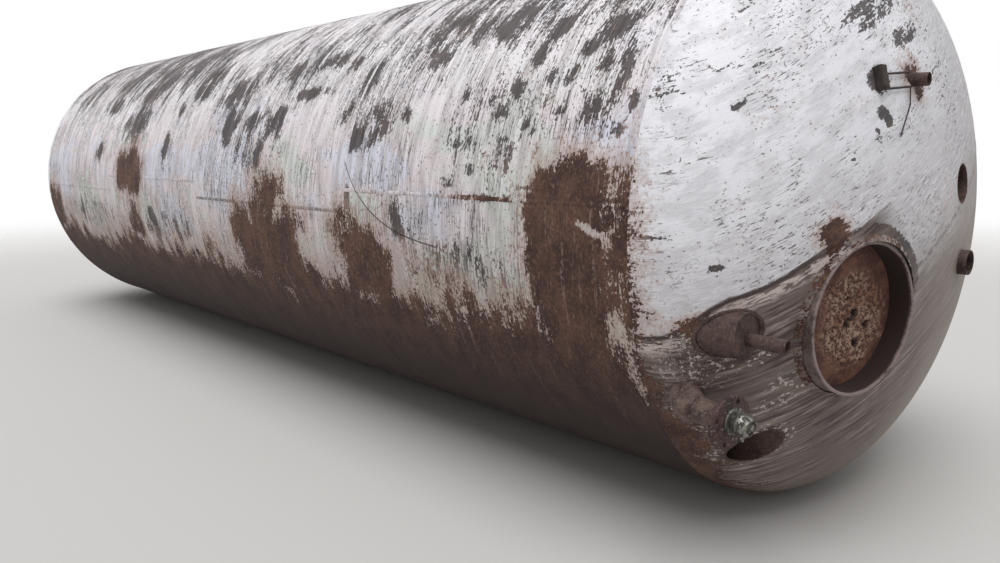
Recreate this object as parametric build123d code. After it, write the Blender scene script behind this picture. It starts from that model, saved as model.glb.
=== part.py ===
from build123d import *
import math
import os

# The frame
# Millimetres. X runs along the tank's axis, with the head that carries the fittings at +X.
# The near side of the tank faces -Y. Z = 0 is the ground that the tank lies on, and
# X = 0 is half way along it. The tank is rolled about its axis from its working position,
# so its manhole and nozzles are off the vertical.

# Shell courses
outer_radius = 1200.0
shell_wall = 10.0
course_1_width = 1735.0
course_2_width = 1765.0
course_3_width = 1700.0
course_4_width = 1700.0
high_seam_angle = 5.5
low_seam_angle = 0.4
belly_sag = 3.0

# Dished ends
head_depth = 600.0
head_skirt = 20.0
head_wall = 12.0
roll_angle = 28.0

# Weld beads
girth_bead_width = 20.0
girth_bead_height = 3.0
seam_bead_width = 18.0
seam_bead_height = 2.5
collar_width = 9.0
collar_height = 6.0
bead_end_gap = 0.3
fit_gap = 0.3

# Manhole, on the head's plate seam. An inset is how far a middle lies in from the rim,
# and an angle is measured from the seam, positive downwards.
manhole_inset = 586.0
manhole_angle = 0.0
manhole_outer_radius = 277.0
manhole_wall = 12.0
manhole_neck_length = 200.0
manhole_lip = 12.0
manhole_lean_u = 12.3
manhole_lean_v = -4.3
manhole_recess = 88.0
cover_thickness = 16.0

# Three socket necks of one size
socket_outer_radius = 79.5
socket_wall = 6.0
socket_root = 90.0
cut_socket_root = 144.0
inlet_inset = 145.0
inlet_angle = -11.5
cut_socket_inset = 121.0
cut_socket_angle = 17.5
side_socket_u = -212.0
side_socket_v = -64.0

# Inlet socket with its small pipe
inlet_socket_stand = 53.0
inlet_plate_thickness = 10.0
inlet_pipe_radius = 24.15
inlet_pipe_wall = 3.5
inlet_pipe_stand = 138.0
inlet_pipe_drop = 15.0

# Drain elbow, pipe, flange and valve. The pipe leans away from the tank's axis. The flange's
# bolt holes straddle the line of the head's seam, which stands upright on a working tank.
drain_inset = 30.0
drain_angle = -0.6
drain_lean = 10.0
elbow_radius = 57.15
elbow_wall = 5.0
elbow_bend_radius = 76.0
elbow_root = 40.0
reducer_length = 22.0
drain_pipe_radius = 44.5
drain_pipe_wall = 4.0
drain_pipe_length = 128.0
flange_radius = 92.5
flange_thickness = 18.0
flange_seat = 9.0
flange_step = 4.0
raised_face_radius = 62.0
bolt_circle_radius = 75.0
bolt_hole_radius = 9.0
bolt_count = 4
first_bolt_angle = 45.0
valve_rise = 12.0
valve_base_radius = 46.0
valve_base_thickness = 10.0
valve_waist_radius = 24.0
valve_ball_radius = 40.0
valve_ball_station = 42.0
valve_length = 72.0
valve_nut_width = 56.0
valve_nut_length = 22.0
valve_bore_radius = 13.0
valve_stem_radius = 8.0
valve_stem_length = 16.0

# Short pipe stub low on the far side of the head
stub_u = -126.0
stub_v = 253.0
stub_radius = 51.0
stub_wall = 5.0
stub_stand = 36.0
stub_root = 40.0

# Vent stub, with a lug beside it that holds two rods and a bent tie wire. The lug's place
# is measured from the vent, along the seam and square to it.
vent_inset = 602.0
vent_angle = -91.8
vent_radius = 24.15
vent_wall = 3.5
vent_stand = 58.0
vent_root = 40.0
lug_along = 188.0
lug_across = -95.0
lug_width = 34.0
lug_height = 84.0
lug_thickness = 34.0
rod_radius = 4.0
rod_spread = 25.0
rod_drop = 10.0
rod_lug_stand = 16.0
rod_end_stand = 10.0
rod_end_clearance = 5.0
wire_radius = 2.5
wire_inset = 6.0
wire_drop = 167.0
wire_drift = 101.0
wire_stand = 8.0
wire_bend_share = 0.35
wire_bend_radius = 60.0

# Sizes that follow from the ones above. The seams of neighbouring courses are staggered.
course_widths = (course_1_width, course_2_width, course_3_width, course_4_width)
seam_angles = (high_seam_angle, low_seam_angle, high_seam_angle, low_seam_angle)
shell_length = sum(course_widths)
half_length = shell_length / 2
axis_height = outer_radius - belly_sag
reach = 4 * (outer_radius + head_depth)


def above(level):
    """Everything higher than a level."""
    return Pos(0, 0, level) * Box(2 * reach, reach, reach, align=(Align.CENTER, Align.CENTER, Align.MIN))


def above_seam(angle):
    """Everything above a plane through the axis that meets the near side at this angle."""
    half = Box(2 * reach, reach, reach, align=(Align.CENTER, Align.CENTER, Align.MIN))
    return Pos(0, 0, axis_height) * Rot(-angle, 0, 0) * half


def rod_along_x(radius, start, end, y, z):
    """A round bar along the tank's axis, between two stations."""
    bar = Cylinder(radius, end - start, align=(Align.CENTER, Align.CENTER, Align.MIN))
    return Pos(start, y, z) * Rot(0, 90, 0) * bar


def tube_along_x(radius, wall, start, end, y, z):
    """A pipe along the tank's axis."""
    return rod_along_x(radius, start, end, y, z) - rod_along_x(radius - wall, start - 1, end + 1, y, z)


def course_ring(start, end):
    """One course of the shell: a round ring, pressed flat where it lies on the ground."""
    outside = rod_along_x(outer_radius, start, end, 0, axis_height) & above(0)
    hollow = rod_along_x(outer_radius - shell_wall, start - 1, end + 1, 0, axis_height) & above(shell_wall)
    return outside - hollow


def course_plates(start, end, angle):
    """The two rolled plates of a course, above and below its lengthwise seams."""
    ring = course_ring(start, end)
    upper = ring & above_seam(angle)
    return upper, ring - upper


def head_form(grow, start):
    """A solid dished end: a short straight skirt and half an ellipsoid, grown by a distance."""
    height = outer_radius + grow
    depth = head_depth + grow
    tip = head_skirt + depth
    with BuildSketch(Plane.XZ) as profile:
        with BuildLine():
            rim = Line((start, 0), (start, height))
            Line(rim @ 1, (head_skirt, height))
            EllipticalCenterArc((head_skirt, 0), depth, height, start_angle=0, arc_size=90)
            Line((tip, 0), (start, 0))
        make_face()
    form = revolve(profile.sketch, Axis.X)
    return Pos(half_length, 0, axis_height) * form


def solid_head():
    """The dished end as one plate thickness, pressed flat where it lies on the ground."""
    outside = head_form(0, 0) & above(0)
    hollow = head_form(-head_wall, -1) & above(head_wall)
    return outside - hollow


def across_head(u, v):
    """Y and height of a place on the head: u along the plate seam, v square to it."""
    turn = math.radians(roll_angle)
    y = -u * math.cos(turn) + v * math.sin(turn)
    z = -u * math.sin(turn) - v * math.cos(turn)
    return y, axis_height + z


def head_station(u, v):
    """X of the head's outer face at a place."""
    share = (u * u + v * v) / outer_radius ** 2
    return half_length + head_skirt + head_depth * math.sqrt(1 - share)


def on_head(u, v):
    """A place on the head's outer face."""
    y, z = across_head(u, v)
    return Vector(head_station(u, v), y, z)


def before_head(y, z, stand):
    """A point that stands this far ahead of the head's outer face."""
    return Vector(head_station(y, z - axis_height) + stand, y, z)


def off_head(u, v):
    """The direction square to the head's outer face at a place."""
    y, z = across_head(u, v)
    station = head_station(u, v) - half_length - head_skirt
    out = Vector(station / head_depth ** 2, y / outer_radius ** 2, (z - axis_height) / outer_radius ** 2)
    return out.normalized()


def from_rim(inset, angle):
    """A place on the head by how far it lies in from the rim and its angle off the seam."""
    distance = outer_radius - inset
    turn = math.radians(angle)
    return distance * math.cos(turn), distance * math.sin(turn)


def manhole_frame():
    """The plane of the manhole's lip, with its normal along the neck."""
    manhole_u, manhole_v = from_rim(manhole_inset, manhole_angle)
    lean_u = math.tan(math.radians(manhole_lean_u))
    lean_v = math.tan(math.radians(manhole_lean_v))
    y, z = across_head(lean_u, lean_v)
    out = Vector(1, y, z - axis_height).normalized()
    centre = on_head(manhole_u, manhole_v) + off_head(manhole_u, manhole_v) * manhole_lip
    return Plane(origin=centre, x_dir=(0, 0, 1), z_dir=out)


def in_manhole(radius, low, high):
    """A round bar on the manhole's axis, between two depths from its lip."""
    bar = Cylinder(radius, high - low, align=(Align.CENTER, Align.CENTER, Align.MIN))
    return manhole_frame() * Pos(0, 0, low) * bar


def collar_on_head(outline, inner):
    """A weld bead on the head round a neck: inside the outline and outside the neck."""
    skin = head_form(collar_height, 0) - head_form(0, -1)
    return (skin & outline) - inner


def girth_bead(station):
    """The bead of a weld that runs round the tank."""
    half = girth_bead_width / 2
    with BuildSketch(Plane.XZ) as profile:
        with BuildLine():
            low = (station - half, outer_radius)
            high = (station + half, outer_radius)
            ThreePointArc(low, (station, outer_radius + girth_bead_height), high)
            Line(high, low)
        make_face()
    bead = Pos(0, 0, axis_height) * revolve(profile.sketch, Axis.X)
    return bead & above(0)


def seam_bead(start, end, angle):
    """The bead of a lengthwise weld at an angle above the near side."""
    half = seam_bead_width / 2
    with BuildSketch(Plane.YZ) as profile:
        with BuildLine():
            left = (-half, outer_radius)
            right = (half, outer_radius)
            ThreePointArc(left, (0, outer_radius + seam_bead_height), right)
            Line(right, left)
        make_face()
    bead = extrude(profile.sketch, end - start)
    return Pos(start, 0, axis_height) * Rot(90 - angle, 0, 0) * bead


def head_seam_bead():
    """The bead of the weld between the two plates of a head: an arch over the dish."""
    start = girth_bead_width / 2 + bead_end_gap
    high = outer_radius + seam_bead_height
    deep_end = head_depth + seam_bead_height
    with BuildSketch(Plane.XZ) as profile:
        with BuildLine():
            Line((start, outer_radius), (start, high))
            Line((start, high), (head_skirt, high))
            EllipticalCenterArc((head_skirt, 0), deep_end, high, start_angle=-90, arc_size=180)
            Line((head_skirt, -high), (start, -high))
            Line((start, -high), (start, -outer_radius))
            Line((start, -outer_radius), (head_skirt, -outer_radius))
            EllipticalCenterArc((head_skirt, 0), head_depth, outer_radius, start_angle=-90, arc_size=180)
            Line((head_skirt, outer_radius), (start, outer_radius))
        make_face()
    arch = extrude(profile.sketch, seam_bead_width / 2, both=True)
    return Pos(half_length, 0, axis_height) * Rot(90 + roll_angle, 0, 0) * arch


def drain_way():
    """The direction of the drain pipe: along the tank, leaning outwards."""
    u, v = from_rim(drain_inset, drain_angle)
    y, z = across_head(u, v)
    outwards = Vector(0, y, z - axis_height).normalized()
    lean = math.radians(drain_lean)
    return Vector(1, 0, 0) * math.cos(lean) + outwards * math.sin(lean)


def elbow_frame():
    """Where the drain leaves the knuckle, with its normal square to the plate."""
    u, v = from_rim(drain_inset, drain_angle)
    out = off_head(u, v)
    side = drain_way().cross(out).normalized()
    return Plane(origin=on_head(u, v), x_dir=side, z_dir=out)


def elbow_turn():
    """The angle that the elbow bends through, and the direction of its pivot."""
    start = elbow_frame()
    way = drain_way()
    share = way.dot(start.z_dir)
    towards_pivot = (way - start.z_dir * share).normalized()
    return math.acos(share), towards_pivot


def elbow_core(radius):
    """The drain elbow as a solid bend of this radius, from inside the plate to its reducer."""
    start = elbow_frame()
    turn, towards_pivot = elbow_turn()
    pivot = start.origin + towards_pivot * elbow_bend_radius
    hinge = Axis(pivot, start.z_dir.cross(towards_pivot))
    bend = revolve(start * Circle(radius), hinge, math.degrees(turn))
    root = extrude(start * Circle(radius), -elbow_root)
    return bend + root


def on_drain(distance):
    """The plane square to the drain pipe, this far past the elbow, with its first axis upwards."""
    start = elbow_frame()
    turn, towards_pivot = elbow_turn()
    sideways = towards_pivot * ((1 - math.cos(turn)) * elbow_bend_radius)
    outlet = start.origin + sideways + start.z_dir * (math.sin(turn) * elbow_bend_radius)
    way = drain_way()
    upwards = (Vector(0, 0, 1) - way * way.Z).normalized()
    return Plane(origin=outlet + way * distance, x_dir=upwards, z_dir=way)


def drain_bar(radius, start, end, rise=0.0):
    """A round bar on the drain's axis, or above it, between two distances past the elbow."""
    bar = Cylinder(radius, end - start, align=(Align.CENTER, Align.CENTER, Align.MIN))
    return on_drain(start) * Pos(rise, 0, 0) * bar


def reducer_core(large, small):
    """A cone from the elbow's outlet down to the drain pipe."""
    cone = Cone(large, small, reducer_length, align=(Align.CENTER, Align.CENTER, Align.MIN))
    return on_drain(0) * cone


def drain_elbow():
    """The elbow and its reducer, hollow from end to end."""
    outside = elbow_core(elbow_radius) + reducer_core(elbow_radius, drain_pipe_radius)
    inner = elbow_radius - elbow_wall
    return outside - elbow_core(inner) - reducer_core(inner, drain_pipe_radius - drain_pipe_wall)


def drain_pipe():
    """The straight pipe from the reducer into the flange."""
    end = reducer_length + drain_pipe_length
    pipe = drain_bar(drain_pipe_radius, reducer_length, end)
    return pipe - drain_bar(drain_pipe_radius - drain_pipe_wall, reducer_length - 1, end + 1)


def drain_flange(start):
    """The closed flange on the drain pipe, with its raised face, valve hole and bolt holes."""
    back = start + flange_thickness
    face = back + flange_step
    body = drain_bar(flange_radius, start, back) + drain_bar(raised_face_radius, start, face)
    body -= drain_bar(drain_pipe_radius + fit_gap, start - 1, start + flange_seat + fit_gap)
    body -= drain_bar(valve_bore_radius, start, face + 1, valve_rise)
    for index in range(bolt_count):
        turn = math.radians(roll_angle + first_bolt_angle + 360 / bolt_count * index)
        place = Pos(bolt_circle_radius * math.cos(turn), bolt_circle_radius * math.sin(turn), -1)
        body -= on_drain(start) * place * Cylinder(
            bolt_hole_radius, flange_thickness + 2, align=(Align.CENTER, Align.CENTER, Align.MIN))
    return body


def drain_valve(start):
    """The small valve body on the flange: base, ball and hexagon end, with its bore."""
    ball_end = 2 * valve_ball_station - valve_base_thickness
    with BuildSketch(Plane.XZ) as profile:
        with BuildLine():
            Line((valve_bore_radius, 0), (valve_base_radius, 0))
            Line((valve_base_radius, 0), (valve_base_radius, valve_base_thickness))
            Line((valve_base_radius, valve_base_thickness), (valve_waist_radius, valve_base_thickness))
            ThreePointArc((valve_waist_radius, valve_base_thickness), (valve_ball_radius, valve_ball_station),
                          (valve_waist_radius, ball_end))
            Line((valve_waist_radius, ball_end), (valve_waist_radius, valve_length))
            Line((valve_waist_radius, valve_length), (valve_bore_radius, valve_length))
            Line((valve_bore_radius, valve_length), (valve_bore_radius, 0))
        make_face()
    body = revolve(profile.sketch, Axis.Z)
    hexagon = RegularPolygon(valve_nut_width / 2, 6, major_radius=False) - Circle(valve_bore_radius)
    nut = Pos(0, 0, valve_length - valve_nut_length) * extrude(hexagon, valve_nut_length)
    stem = Cylinder(valve_stem_radius, valve_stem_length + valve_ball_radius - valve_waist_radius,
                    align=(Align.CENTER, Align.CENTER, Align.MIN))
    stem_place = Pos(-valve_waist_radius, 0, valve_ball_station) * Rot(0, -90, 0)
    return on_drain(start) * Pos(valve_rise, 0, 0) * (body + nut + stem_place * stem)


def bar_between(first, second, radius):
    """A round bar from one point to another."""
    way = second - first
    frame = Plane(origin=first, z_dir=way.normalized())
    return frame * Cylinder(radius, way.length, align=(Align.CENTER, Align.CENTER, Align.MIN))


def vent_bracket():
    """The lug, the two rods that it holds beside the vent stub, and where the wire hangs."""
    vent_u, vent_v = from_rim(vent_inset, vent_angle)
    lug_u = vent_u + lug_along
    lug_v = vent_v + lug_across
    lug_place = on_head(lug_u, lug_v)
    out = off_head(lug_u, lug_v)
    frame = Plane(origin=lug_place, x_dir=(0, 0, 1), z_dir=out)
    block = frame * Pos(0, 0, -head_wall / 2) * Box(
        lug_height, lug_width, lug_thickness + head_wall / 2, align=(Align.CENTER, Align.CENTER, Align.MIN))
    lug = block - head_form(fit_gap, -1)
    vent_y, vent_z = across_head(vent_u, vent_v)
    right_y = vent_y - vent_radius - rod_radius - rod_end_clearance
    rods = []
    for rise in (rod_spread, -rod_spread):
        left_end = before_head(lug_place.Y, lug_place.Z - rod_drop + rise, rod_lug_stand)
        right_end = before_head(right_y, vent_z + rise, rod_end_stand)
        rods.append(bar_between(left_end, right_end, rod_radius) - block)
    along = (left_end - right_end).normalized()
    tip = wire_radius * wire_drift / math.hypot(wire_drift, wire_drop)
    hook = right_end + along * wire_inset - Vector(0, 0, rod_radius + fit_gap + tip)
    return lug, rods, hook


def tie_wire(top):
    """A bent wire that hangs from the lower rod in front of the head."""
    low_y = top.Y - wire_drift
    low_z = top.Z - wire_drop
    low = before_head(low_y, low_z, wire_stand)
    middle = top + (low - top) * wire_bend_share + Vector(wire_stand, wire_stand, 0)
    path = FilletPolyline(top, middle, low, radius=wire_bend_radius)
    section = Plane(origin=path @ 0, z_dir=path % 0) * Circle(wire_radius)
    return sweep(section, path)


# Shell courses, from the near head backwards
parts = {}
edge = half_length
for index, width in enumerate(course_widths):
    name = f"course_{index + 1}"
    upper, lower = course_plates(edge - width, edge, seam_angles[index])
    parts[f"{name}_upper_plate"] = upper
    parts[f"{name}_lower_plate"] = lower
    clear = girth_bead_width / 2 + bead_end_gap
    near_side = seam_bead(edge - width + clear, edge - clear, seam_angles[index])
    far_side = seam_bead(edge - width + clear, edge - clear, seam_angles[index] + 180)
    parts[f"{name}_seam_welds"] = Compound([near_side, far_side])
    parts[f"girth_weld_{index + 1}"] = girth_bead(edge)
    edge -= width
parts[f"girth_weld_{len(course_widths) + 1}"] = girth_bead(edge)

# Necks and pipes that pass through the near head
inlet_u, inlet_v = from_rim(inlet_inset, inlet_angle)
inlet_y, inlet_z = across_head(inlet_u, inlet_v)
inlet_base = head_station(inlet_u, inlet_v)
cut_socket_u, cut_socket_v = from_rim(cut_socket_inset, cut_socket_angle)
cut_y, cut_z = across_head(cut_socket_u, cut_socket_v)
cut_base = head_station(cut_socket_u, cut_socket_v)
side_y, side_z = across_head(side_socket_u, side_socket_v)
side_base = head_station(side_socket_u, side_socket_v)
stub_y, stub_z = across_head(stub_u, stub_v)
stub_base = head_station(stub_u, stub_v)
vent_u, vent_v = from_rim(vent_inset, vent_angle)
vent_y, vent_z = across_head(vent_u, vent_v)
vent_base = head_station(vent_u, vent_v)
deep = half_length - head_depth
shallow = half_length + 2 * head_depth
openings = [
    in_manhole(manhole_outer_radius + fit_gap, -manhole_neck_length, manhole_neck_length),
    rod_along_x(socket_outer_radius + fit_gap, deep, shallow, inlet_y, inlet_z),
    rod_along_x(socket_outer_radius + fit_gap, deep, shallow, cut_y, cut_z),
    rod_along_x(socket_outer_radius + fit_gap, deep, shallow, side_y, side_z),
    rod_along_x(stub_radius + fit_gap, deep, shallow, stub_y, stub_z),
    rod_along_x(vent_radius + fit_gap, deep, shallow, vent_y, vent_z),
    elbow_core(elbow_radius + fit_gap),
]

# Dished ends, each of two plates joined along a seam through the middle
far_head = mirror(solid_head(), Plane.YZ)
parts["far_head_upper_plate"] = far_head & above_seam(-roll_angle)
parts["far_head_lower_plate"] = far_head - above_seam(-roll_angle)
parts["far_head_seam_weld"] = mirror(head_seam_bead(), Plane.YZ)
near_head = solid_head()
near_bead = head_seam_bead()
for opening in openings:
    near_head -= opening
    near_bead -= opening
parts["near_head_upper_plate"] = near_head & above_seam(-roll_angle)
parts["near_head_lower_plate"] = near_head - above_seam(-roll_angle)

# Manhole: a neck let into the head, closed by a plate sunk inside it
bore = manhole_outer_radius - manhole_wall
parts["manhole_neck"] = in_manhole(manhole_outer_radius, -manhole_neck_length, 0) - in_manhole(
    bore, -manhole_neck_length - 1, 1)
parts["manhole_cover"] = in_manhole(bore - fit_gap, -manhole_recess - cover_thickness, -manhole_recess)
manhole_weld = collar_on_head(
    in_manhole(manhole_outer_radius + collar_width, -manhole_neck_length, manhole_neck_length),
    in_manhole(manhole_outer_radius + fit_gap, -manhole_neck_length, manhole_neck_length))
parts["manhole_weld"] = manhole_weld
near_bead -= in_manhole(
    manhole_outer_radius + collar_width + fit_gap, -manhole_neck_length, manhole_neck_length)

# Inlet: a socket closed by a plate, with a small pipe through it
socket_end = inlet_base + inlet_socket_stand
parts["inlet_socket"] = tube_along_x(
    socket_outer_radius, socket_wall, inlet_base - socket_root, socket_end, inlet_y, inlet_z)
plate_start = socket_end - inlet_plate_thickness
pipe_y, pipe_z = across_head(inlet_u, inlet_v + inlet_pipe_drop)
inlet_plate_radius = socket_outer_radius - socket_wall - fit_gap
inlet_plate = rod_along_x(inlet_plate_radius, plate_start, socket_end, inlet_y, inlet_z)
inlet_plate -= rod_along_x(
    inlet_pipe_radius - inlet_pipe_wall, plate_start - 1, socket_end + 1, pipe_y, pipe_z)
parts["inlet_plate"] = inlet_plate
parts["inlet_pipe"] = tube_along_x(
    inlet_pipe_radius, inlet_pipe_wall, socket_end, socket_end + inlet_pipe_stand, pipe_y, pipe_z)
parts["inlet_weld"] = collar_on_head(
    rod_along_x(socket_outer_radius + collar_width, half_length, shallow, inlet_y, inlet_z),
    rod_along_x(socket_outer_radius + fit_gap, half_length - 1, shallow + 1, inlet_y, inlet_z))

# Sockets that were cut off flush with the head
head_body = head_form(0, 0)
parts["cut_socket"] = head_body & tube_along_x(
    socket_outer_radius, socket_wall, cut_base - cut_socket_root, shallow, cut_y, cut_z)
parts["side_socket"] = head_body & tube_along_x(
    socket_outer_radius, socket_wall, side_base - socket_root, shallow, side_y, side_z)

# Drain
flange_start = reducer_length + drain_pipe_length - flange_seat
parts["drain_elbow"] = drain_elbow()
parts["drain_pipe"] = drain_pipe()
parts["drain_flange"] = drain_flange(flange_start)
parts["drain_valve"] = drain_valve(flange_start + flange_thickness + flange_step)

# Pipe stubs
parts["side_stub"] = tube_along_x(
    stub_radius, stub_wall, stub_base - stub_root, stub_base + stub_stand, stub_y, stub_z)
parts["vent_stub"] = tube_along_x(
    vent_radius, vent_wall, vent_base - vent_root, vent_base + vent_stand, vent_y, vent_z)

# Bracket and tie wire
lug, rods, hook = vent_bracket()
parts["vent_lug"] = lug
parts["upper_rod"] = rods[0]
parts["lower_rod"] = rods[1]
parts["tie_wire"] = tie_wire(hook)
parts["near_head_seam_weld"] = near_bead

os.makedirs("parts", exist_ok=True)
for name, shape in parts.items():
    export_step(shape, f"parts/{name}.step")
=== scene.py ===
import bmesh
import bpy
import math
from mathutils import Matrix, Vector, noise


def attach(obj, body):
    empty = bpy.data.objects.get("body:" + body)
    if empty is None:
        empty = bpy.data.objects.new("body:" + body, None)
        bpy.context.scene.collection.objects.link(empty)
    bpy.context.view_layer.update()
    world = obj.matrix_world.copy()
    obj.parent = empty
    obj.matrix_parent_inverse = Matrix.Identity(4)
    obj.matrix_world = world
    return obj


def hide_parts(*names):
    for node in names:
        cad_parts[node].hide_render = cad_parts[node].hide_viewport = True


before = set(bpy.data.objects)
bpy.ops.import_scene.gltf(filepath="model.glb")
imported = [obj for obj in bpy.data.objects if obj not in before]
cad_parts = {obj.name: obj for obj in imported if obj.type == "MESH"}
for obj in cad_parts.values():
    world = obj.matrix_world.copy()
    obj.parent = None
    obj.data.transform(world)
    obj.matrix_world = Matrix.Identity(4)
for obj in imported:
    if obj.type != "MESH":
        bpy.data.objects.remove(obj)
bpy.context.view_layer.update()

# %% [markdown]
# # A water storage tank that lies on the ground
# The tank is a rolled steel cylinder with two dished ends. It was painted white and has been
# outdoors for decades, so the brushed paint is streaked, flaked and worn through to rust.
# The CAD model gives every size and place. This lesson dresses it: each piece is modelled in
# bmesh at its real size and place, and each finish is built from shader nodes, so nothing
# here needs an image.

# %% [markdown]
# ## Where things are on the tank
# X runs along the tank, -Y is the near side and Z = 0 is the ground. Three ways of naming a
# place are used. On the shell it is metres along the tank and metres of climb round it,
# with 0 half way up the near side. On the near head it is u, along the weld seam towards
# the near side, and v, square to the seam and positive downwards. A point is put on the
# dish by sliding it along a direction until it meets the dish.

# %% Sizes of the shell and the heads, in metres
TANK_RADIUS = 1.2
AXIS_HEIGHT = 1.197
HALF_LENGTH = 3.45
SHELL_WALL = 0.010
HEAD_WALL = 0.012
HEAD_SKIRT = 0.02
HEAD_DEPTH = 0.6
SEAM_ROLL = math.radians(28)
ALONG_SEAM = Vector((0, -math.cos(SEAM_ROLL), -math.sin(SEAM_ROLL)))
ACROSS_SEAM = Vector((0, math.sin(SEAM_ROLL), -math.cos(SEAM_ROLL)))
AXIS_MIDDLE = Vector((0, 0, AXIS_HEIGHT))
DISH_MIDDLE = Vector((HALF_LENGTH + HEAD_SKIRT, 0, AXIS_HEIGHT))
DISH_SIZES = Vector((HEAD_DEPTH, TANK_RADIUS, TANK_RADIUS))
ALONG_TANK = Vector((1, 0, 0))
CROWN_CLIMB = TANK_RADIUS * math.pi / 2
CLEARANCE = 0.0003


def head_place(u, v, x=HALF_LENGTH):
    """The point at u and v on a plane square to the tank."""
    return AXIS_MIDDLE + ALONG_SEAM * u + ACROSS_SEAM * v + ALONG_TANK * x


def onto_head(point, way=ALONG_TANK):
    """Slides a point along a direction until it meets the near head's outer face."""
    start = point - DISH_MIDDLE
    a = sum((way[i] / DISH_SIZES[i]) ** 2 for i in range(3))
    b = sum(2 * way[i] * start[i] / DISH_SIZES[i] ** 2 for i in range(3))
    c = sum((start[i] / DISH_SIZES[i]) ** 2 for i in range(3)) - 1
    root = math.sqrt(max(b * b - 4 * a * c, 0))
    return point + way * ((-b + root) / (2 * a))


def off_head(point):
    """The direction square to the near head's outer face at a point on it."""
    start = point - DISH_MIDDLE
    return Vector(start[i] / DISH_SIZES[i] ** 2 for i in range(3)).normalized()


def from_rim(inset, angle):
    """u and v of a place by how far it lies in from the rim and its angle off the seam."""
    distance = TANK_RADIUS - inset
    return distance * math.cos(math.radians(angle)), distance * math.sin(math.radians(angle))


MANHOLE_UV = from_rim(0.586, 0)
INLET_UV = from_rim(0.145, -11.5)
CUT_SOCKET_UV = from_rim(0.121, 17.5)
SIDE_SOCKET_UV = (-0.212, -0.064)
SIDE_STUB_UV = (-0.126, 0.253)
VENT_UV = from_rim(0.602, -91.8)
DRAIN_UV = from_rim(0.030, -0.6)
for place in (MANHOLE_UV, INLET_UV, CUT_SOCKET_UV, SIDE_SOCKET_UV, SIDE_STUB_UV, VENT_UV, DRAIN_UV):
    print("on the head", [round(c, 4) for c in onto_head(head_place(*place))])

# %% [markdown]
# ## From a bmesh to a piece of the tank
# Every piece goes through the same last steps: doubles are merged and normals turned
# outwards before a wall gets its thickness, faces are shaded smooth, and edges sharper
# than a limit stay crisp. The finished object sits at the origin with its place in its
# mesh, rides on the tank's one body and stands for the CAD node that it dresses.

# %% Helpers that finish a mesh
UPRIGHT = Vector((0, 0, 1))


def close_skin(bm):
    """Merges doubles and turns the normals outwards."""
    bmesh.ops.remove_doubles(bm, verts=bm.verts, dist=1e-5)
    bmesh.ops.recalc_face_normals(bm, faces=bm.faces)


def stand_at(origin, way, up=UPRIGHT):
    """A placing matrix: its Z axis runs along way and its X axis points as far up as it can."""
    z = way.normalized()
    x = (up - z * up.dot(z)).normalized()
    return Matrix.Translation(origin) @ Matrix((x, z.cross(x), z)).transposed().to_4x4()


def shade(bm, sharp=35):
    """Smooth faces, with crisp edges where two faces meet at more than an angle."""
    for face in bm.faces:
        face.smooth = True
    for edge in bm.edges:
        edge.smooth = edge.is_manifold and edge.calc_face_angle(0) < math.radians(sharp)


def make_piece(name, bm, finish, slot, *nodes, sharp=35):
    """Makes the object, gives it its finish, puts it on the root body and hides the CAD nodes it replaces.
    """
    shade(bm, sharp)
    mesh = bpy.data.meshes.new(name)
    bm.to_mesh(mesh)
    bm.free()
    piece = bpy.data.objects.new(name, mesh)
    bpy.context.scene.collection.objects.link(piece)
    mesh.materials.append(finish)
    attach(piece, "root")
    if nodes:
        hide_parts(*nodes)
    mesh.calc_loop_triangles()
    print(name, len(mesh.loop_triangles), "triangles")


# %% [markdown]
# ## Shader tools
# Colours are picked as sRGB hex values, and shaders work in linear light, so one function
# converts them. A second one adds a shader node with its settings and links. The next ones
# give a name to the steps that every finish repeats: a colour laid over another by a share,
# a noise drawn out along the brush strokes, a soft threshold, and the sum or product of two
# such measures, from which a ragged edge is made where a soft field passes a level.

# %% Colour and node helpers
def paint_hex(code):
    """An sRGB hex colour as the linear values that shaders take."""
    channels = [int(code[i:i + 2], 16) / 255 for i in (0, 2, 4)]
    linear = [c / 12.92 if c <= 0.04045 else ((c + 0.055) / 1.055) ** 2.4 for c in channels]
    return (*linear, 1.0)


def add(tree, kind, links=None, out=0, **settings):
    """Adds a shader node, sets and links its inputs, and returns one of its outputs."""
    made = tree.nodes.new(kind)
    for name, value in settings.items():
        setattr(made, name, value)
    for socket, value in (links or {}).items():
        if isinstance(value, bpy.types.NodeSocket):
            tree.links.new(value, made.inputs[socket])
        else:
            made.inputs[socket].default_value = value
    return made.outputs[out]


def blend_colour(tree, share, first, second):
    """Goes from the first colour to the second by a share."""
    ends = [paint_hex(c) if isinstance(c, str) else c for c in (first, second)]
    return add(tree, "ShaderNodeMix", {0: share, 6: ends[0], 7: ends[1]}, out=2, data_type="RGBA")


def drawn_noise(tree, place, sizes, detail, rough, shift):
    """Noise whose grain has these sizes in metres along the three axes of a place."""
    scale = tuple(1 / size for size in sizes)
    moved = add(tree, "ShaderNodeMapping", {"Vector": place, "Scale": scale,
                                            "Location": (shift, shift * 0.7, shift * 0.3)})
    return add(tree, "ShaderNodeTexNoise", {"Vector": moved, "Scale": 1.0, "Detail": detail,
                                            "Roughness": rough})


def rises(tree, value, low, high, top=1.0):
    """Goes smoothly from 0 to top while a value goes from low to high."""
    return add(tree, "ShaderNodeMapRange",
               {"Value": value, "From Min": low, "From Max": high, "To Min": 0.0, "To Max": top},
               interpolation_type="SMOOTHSTEP")


def sums(tree, first, second, share=1.0):
    """The first value plus a share of the second."""
    return add(tree, "ShaderNodeMath", {0: second, 1: share, 2: first}, operation="MULTIPLY_ADD")


def times(tree, first, second):
    """The product of two values."""
    return add(tree, "ShaderNodeMath", {0: first, 1: second}, operation="MULTIPLY")


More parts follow.
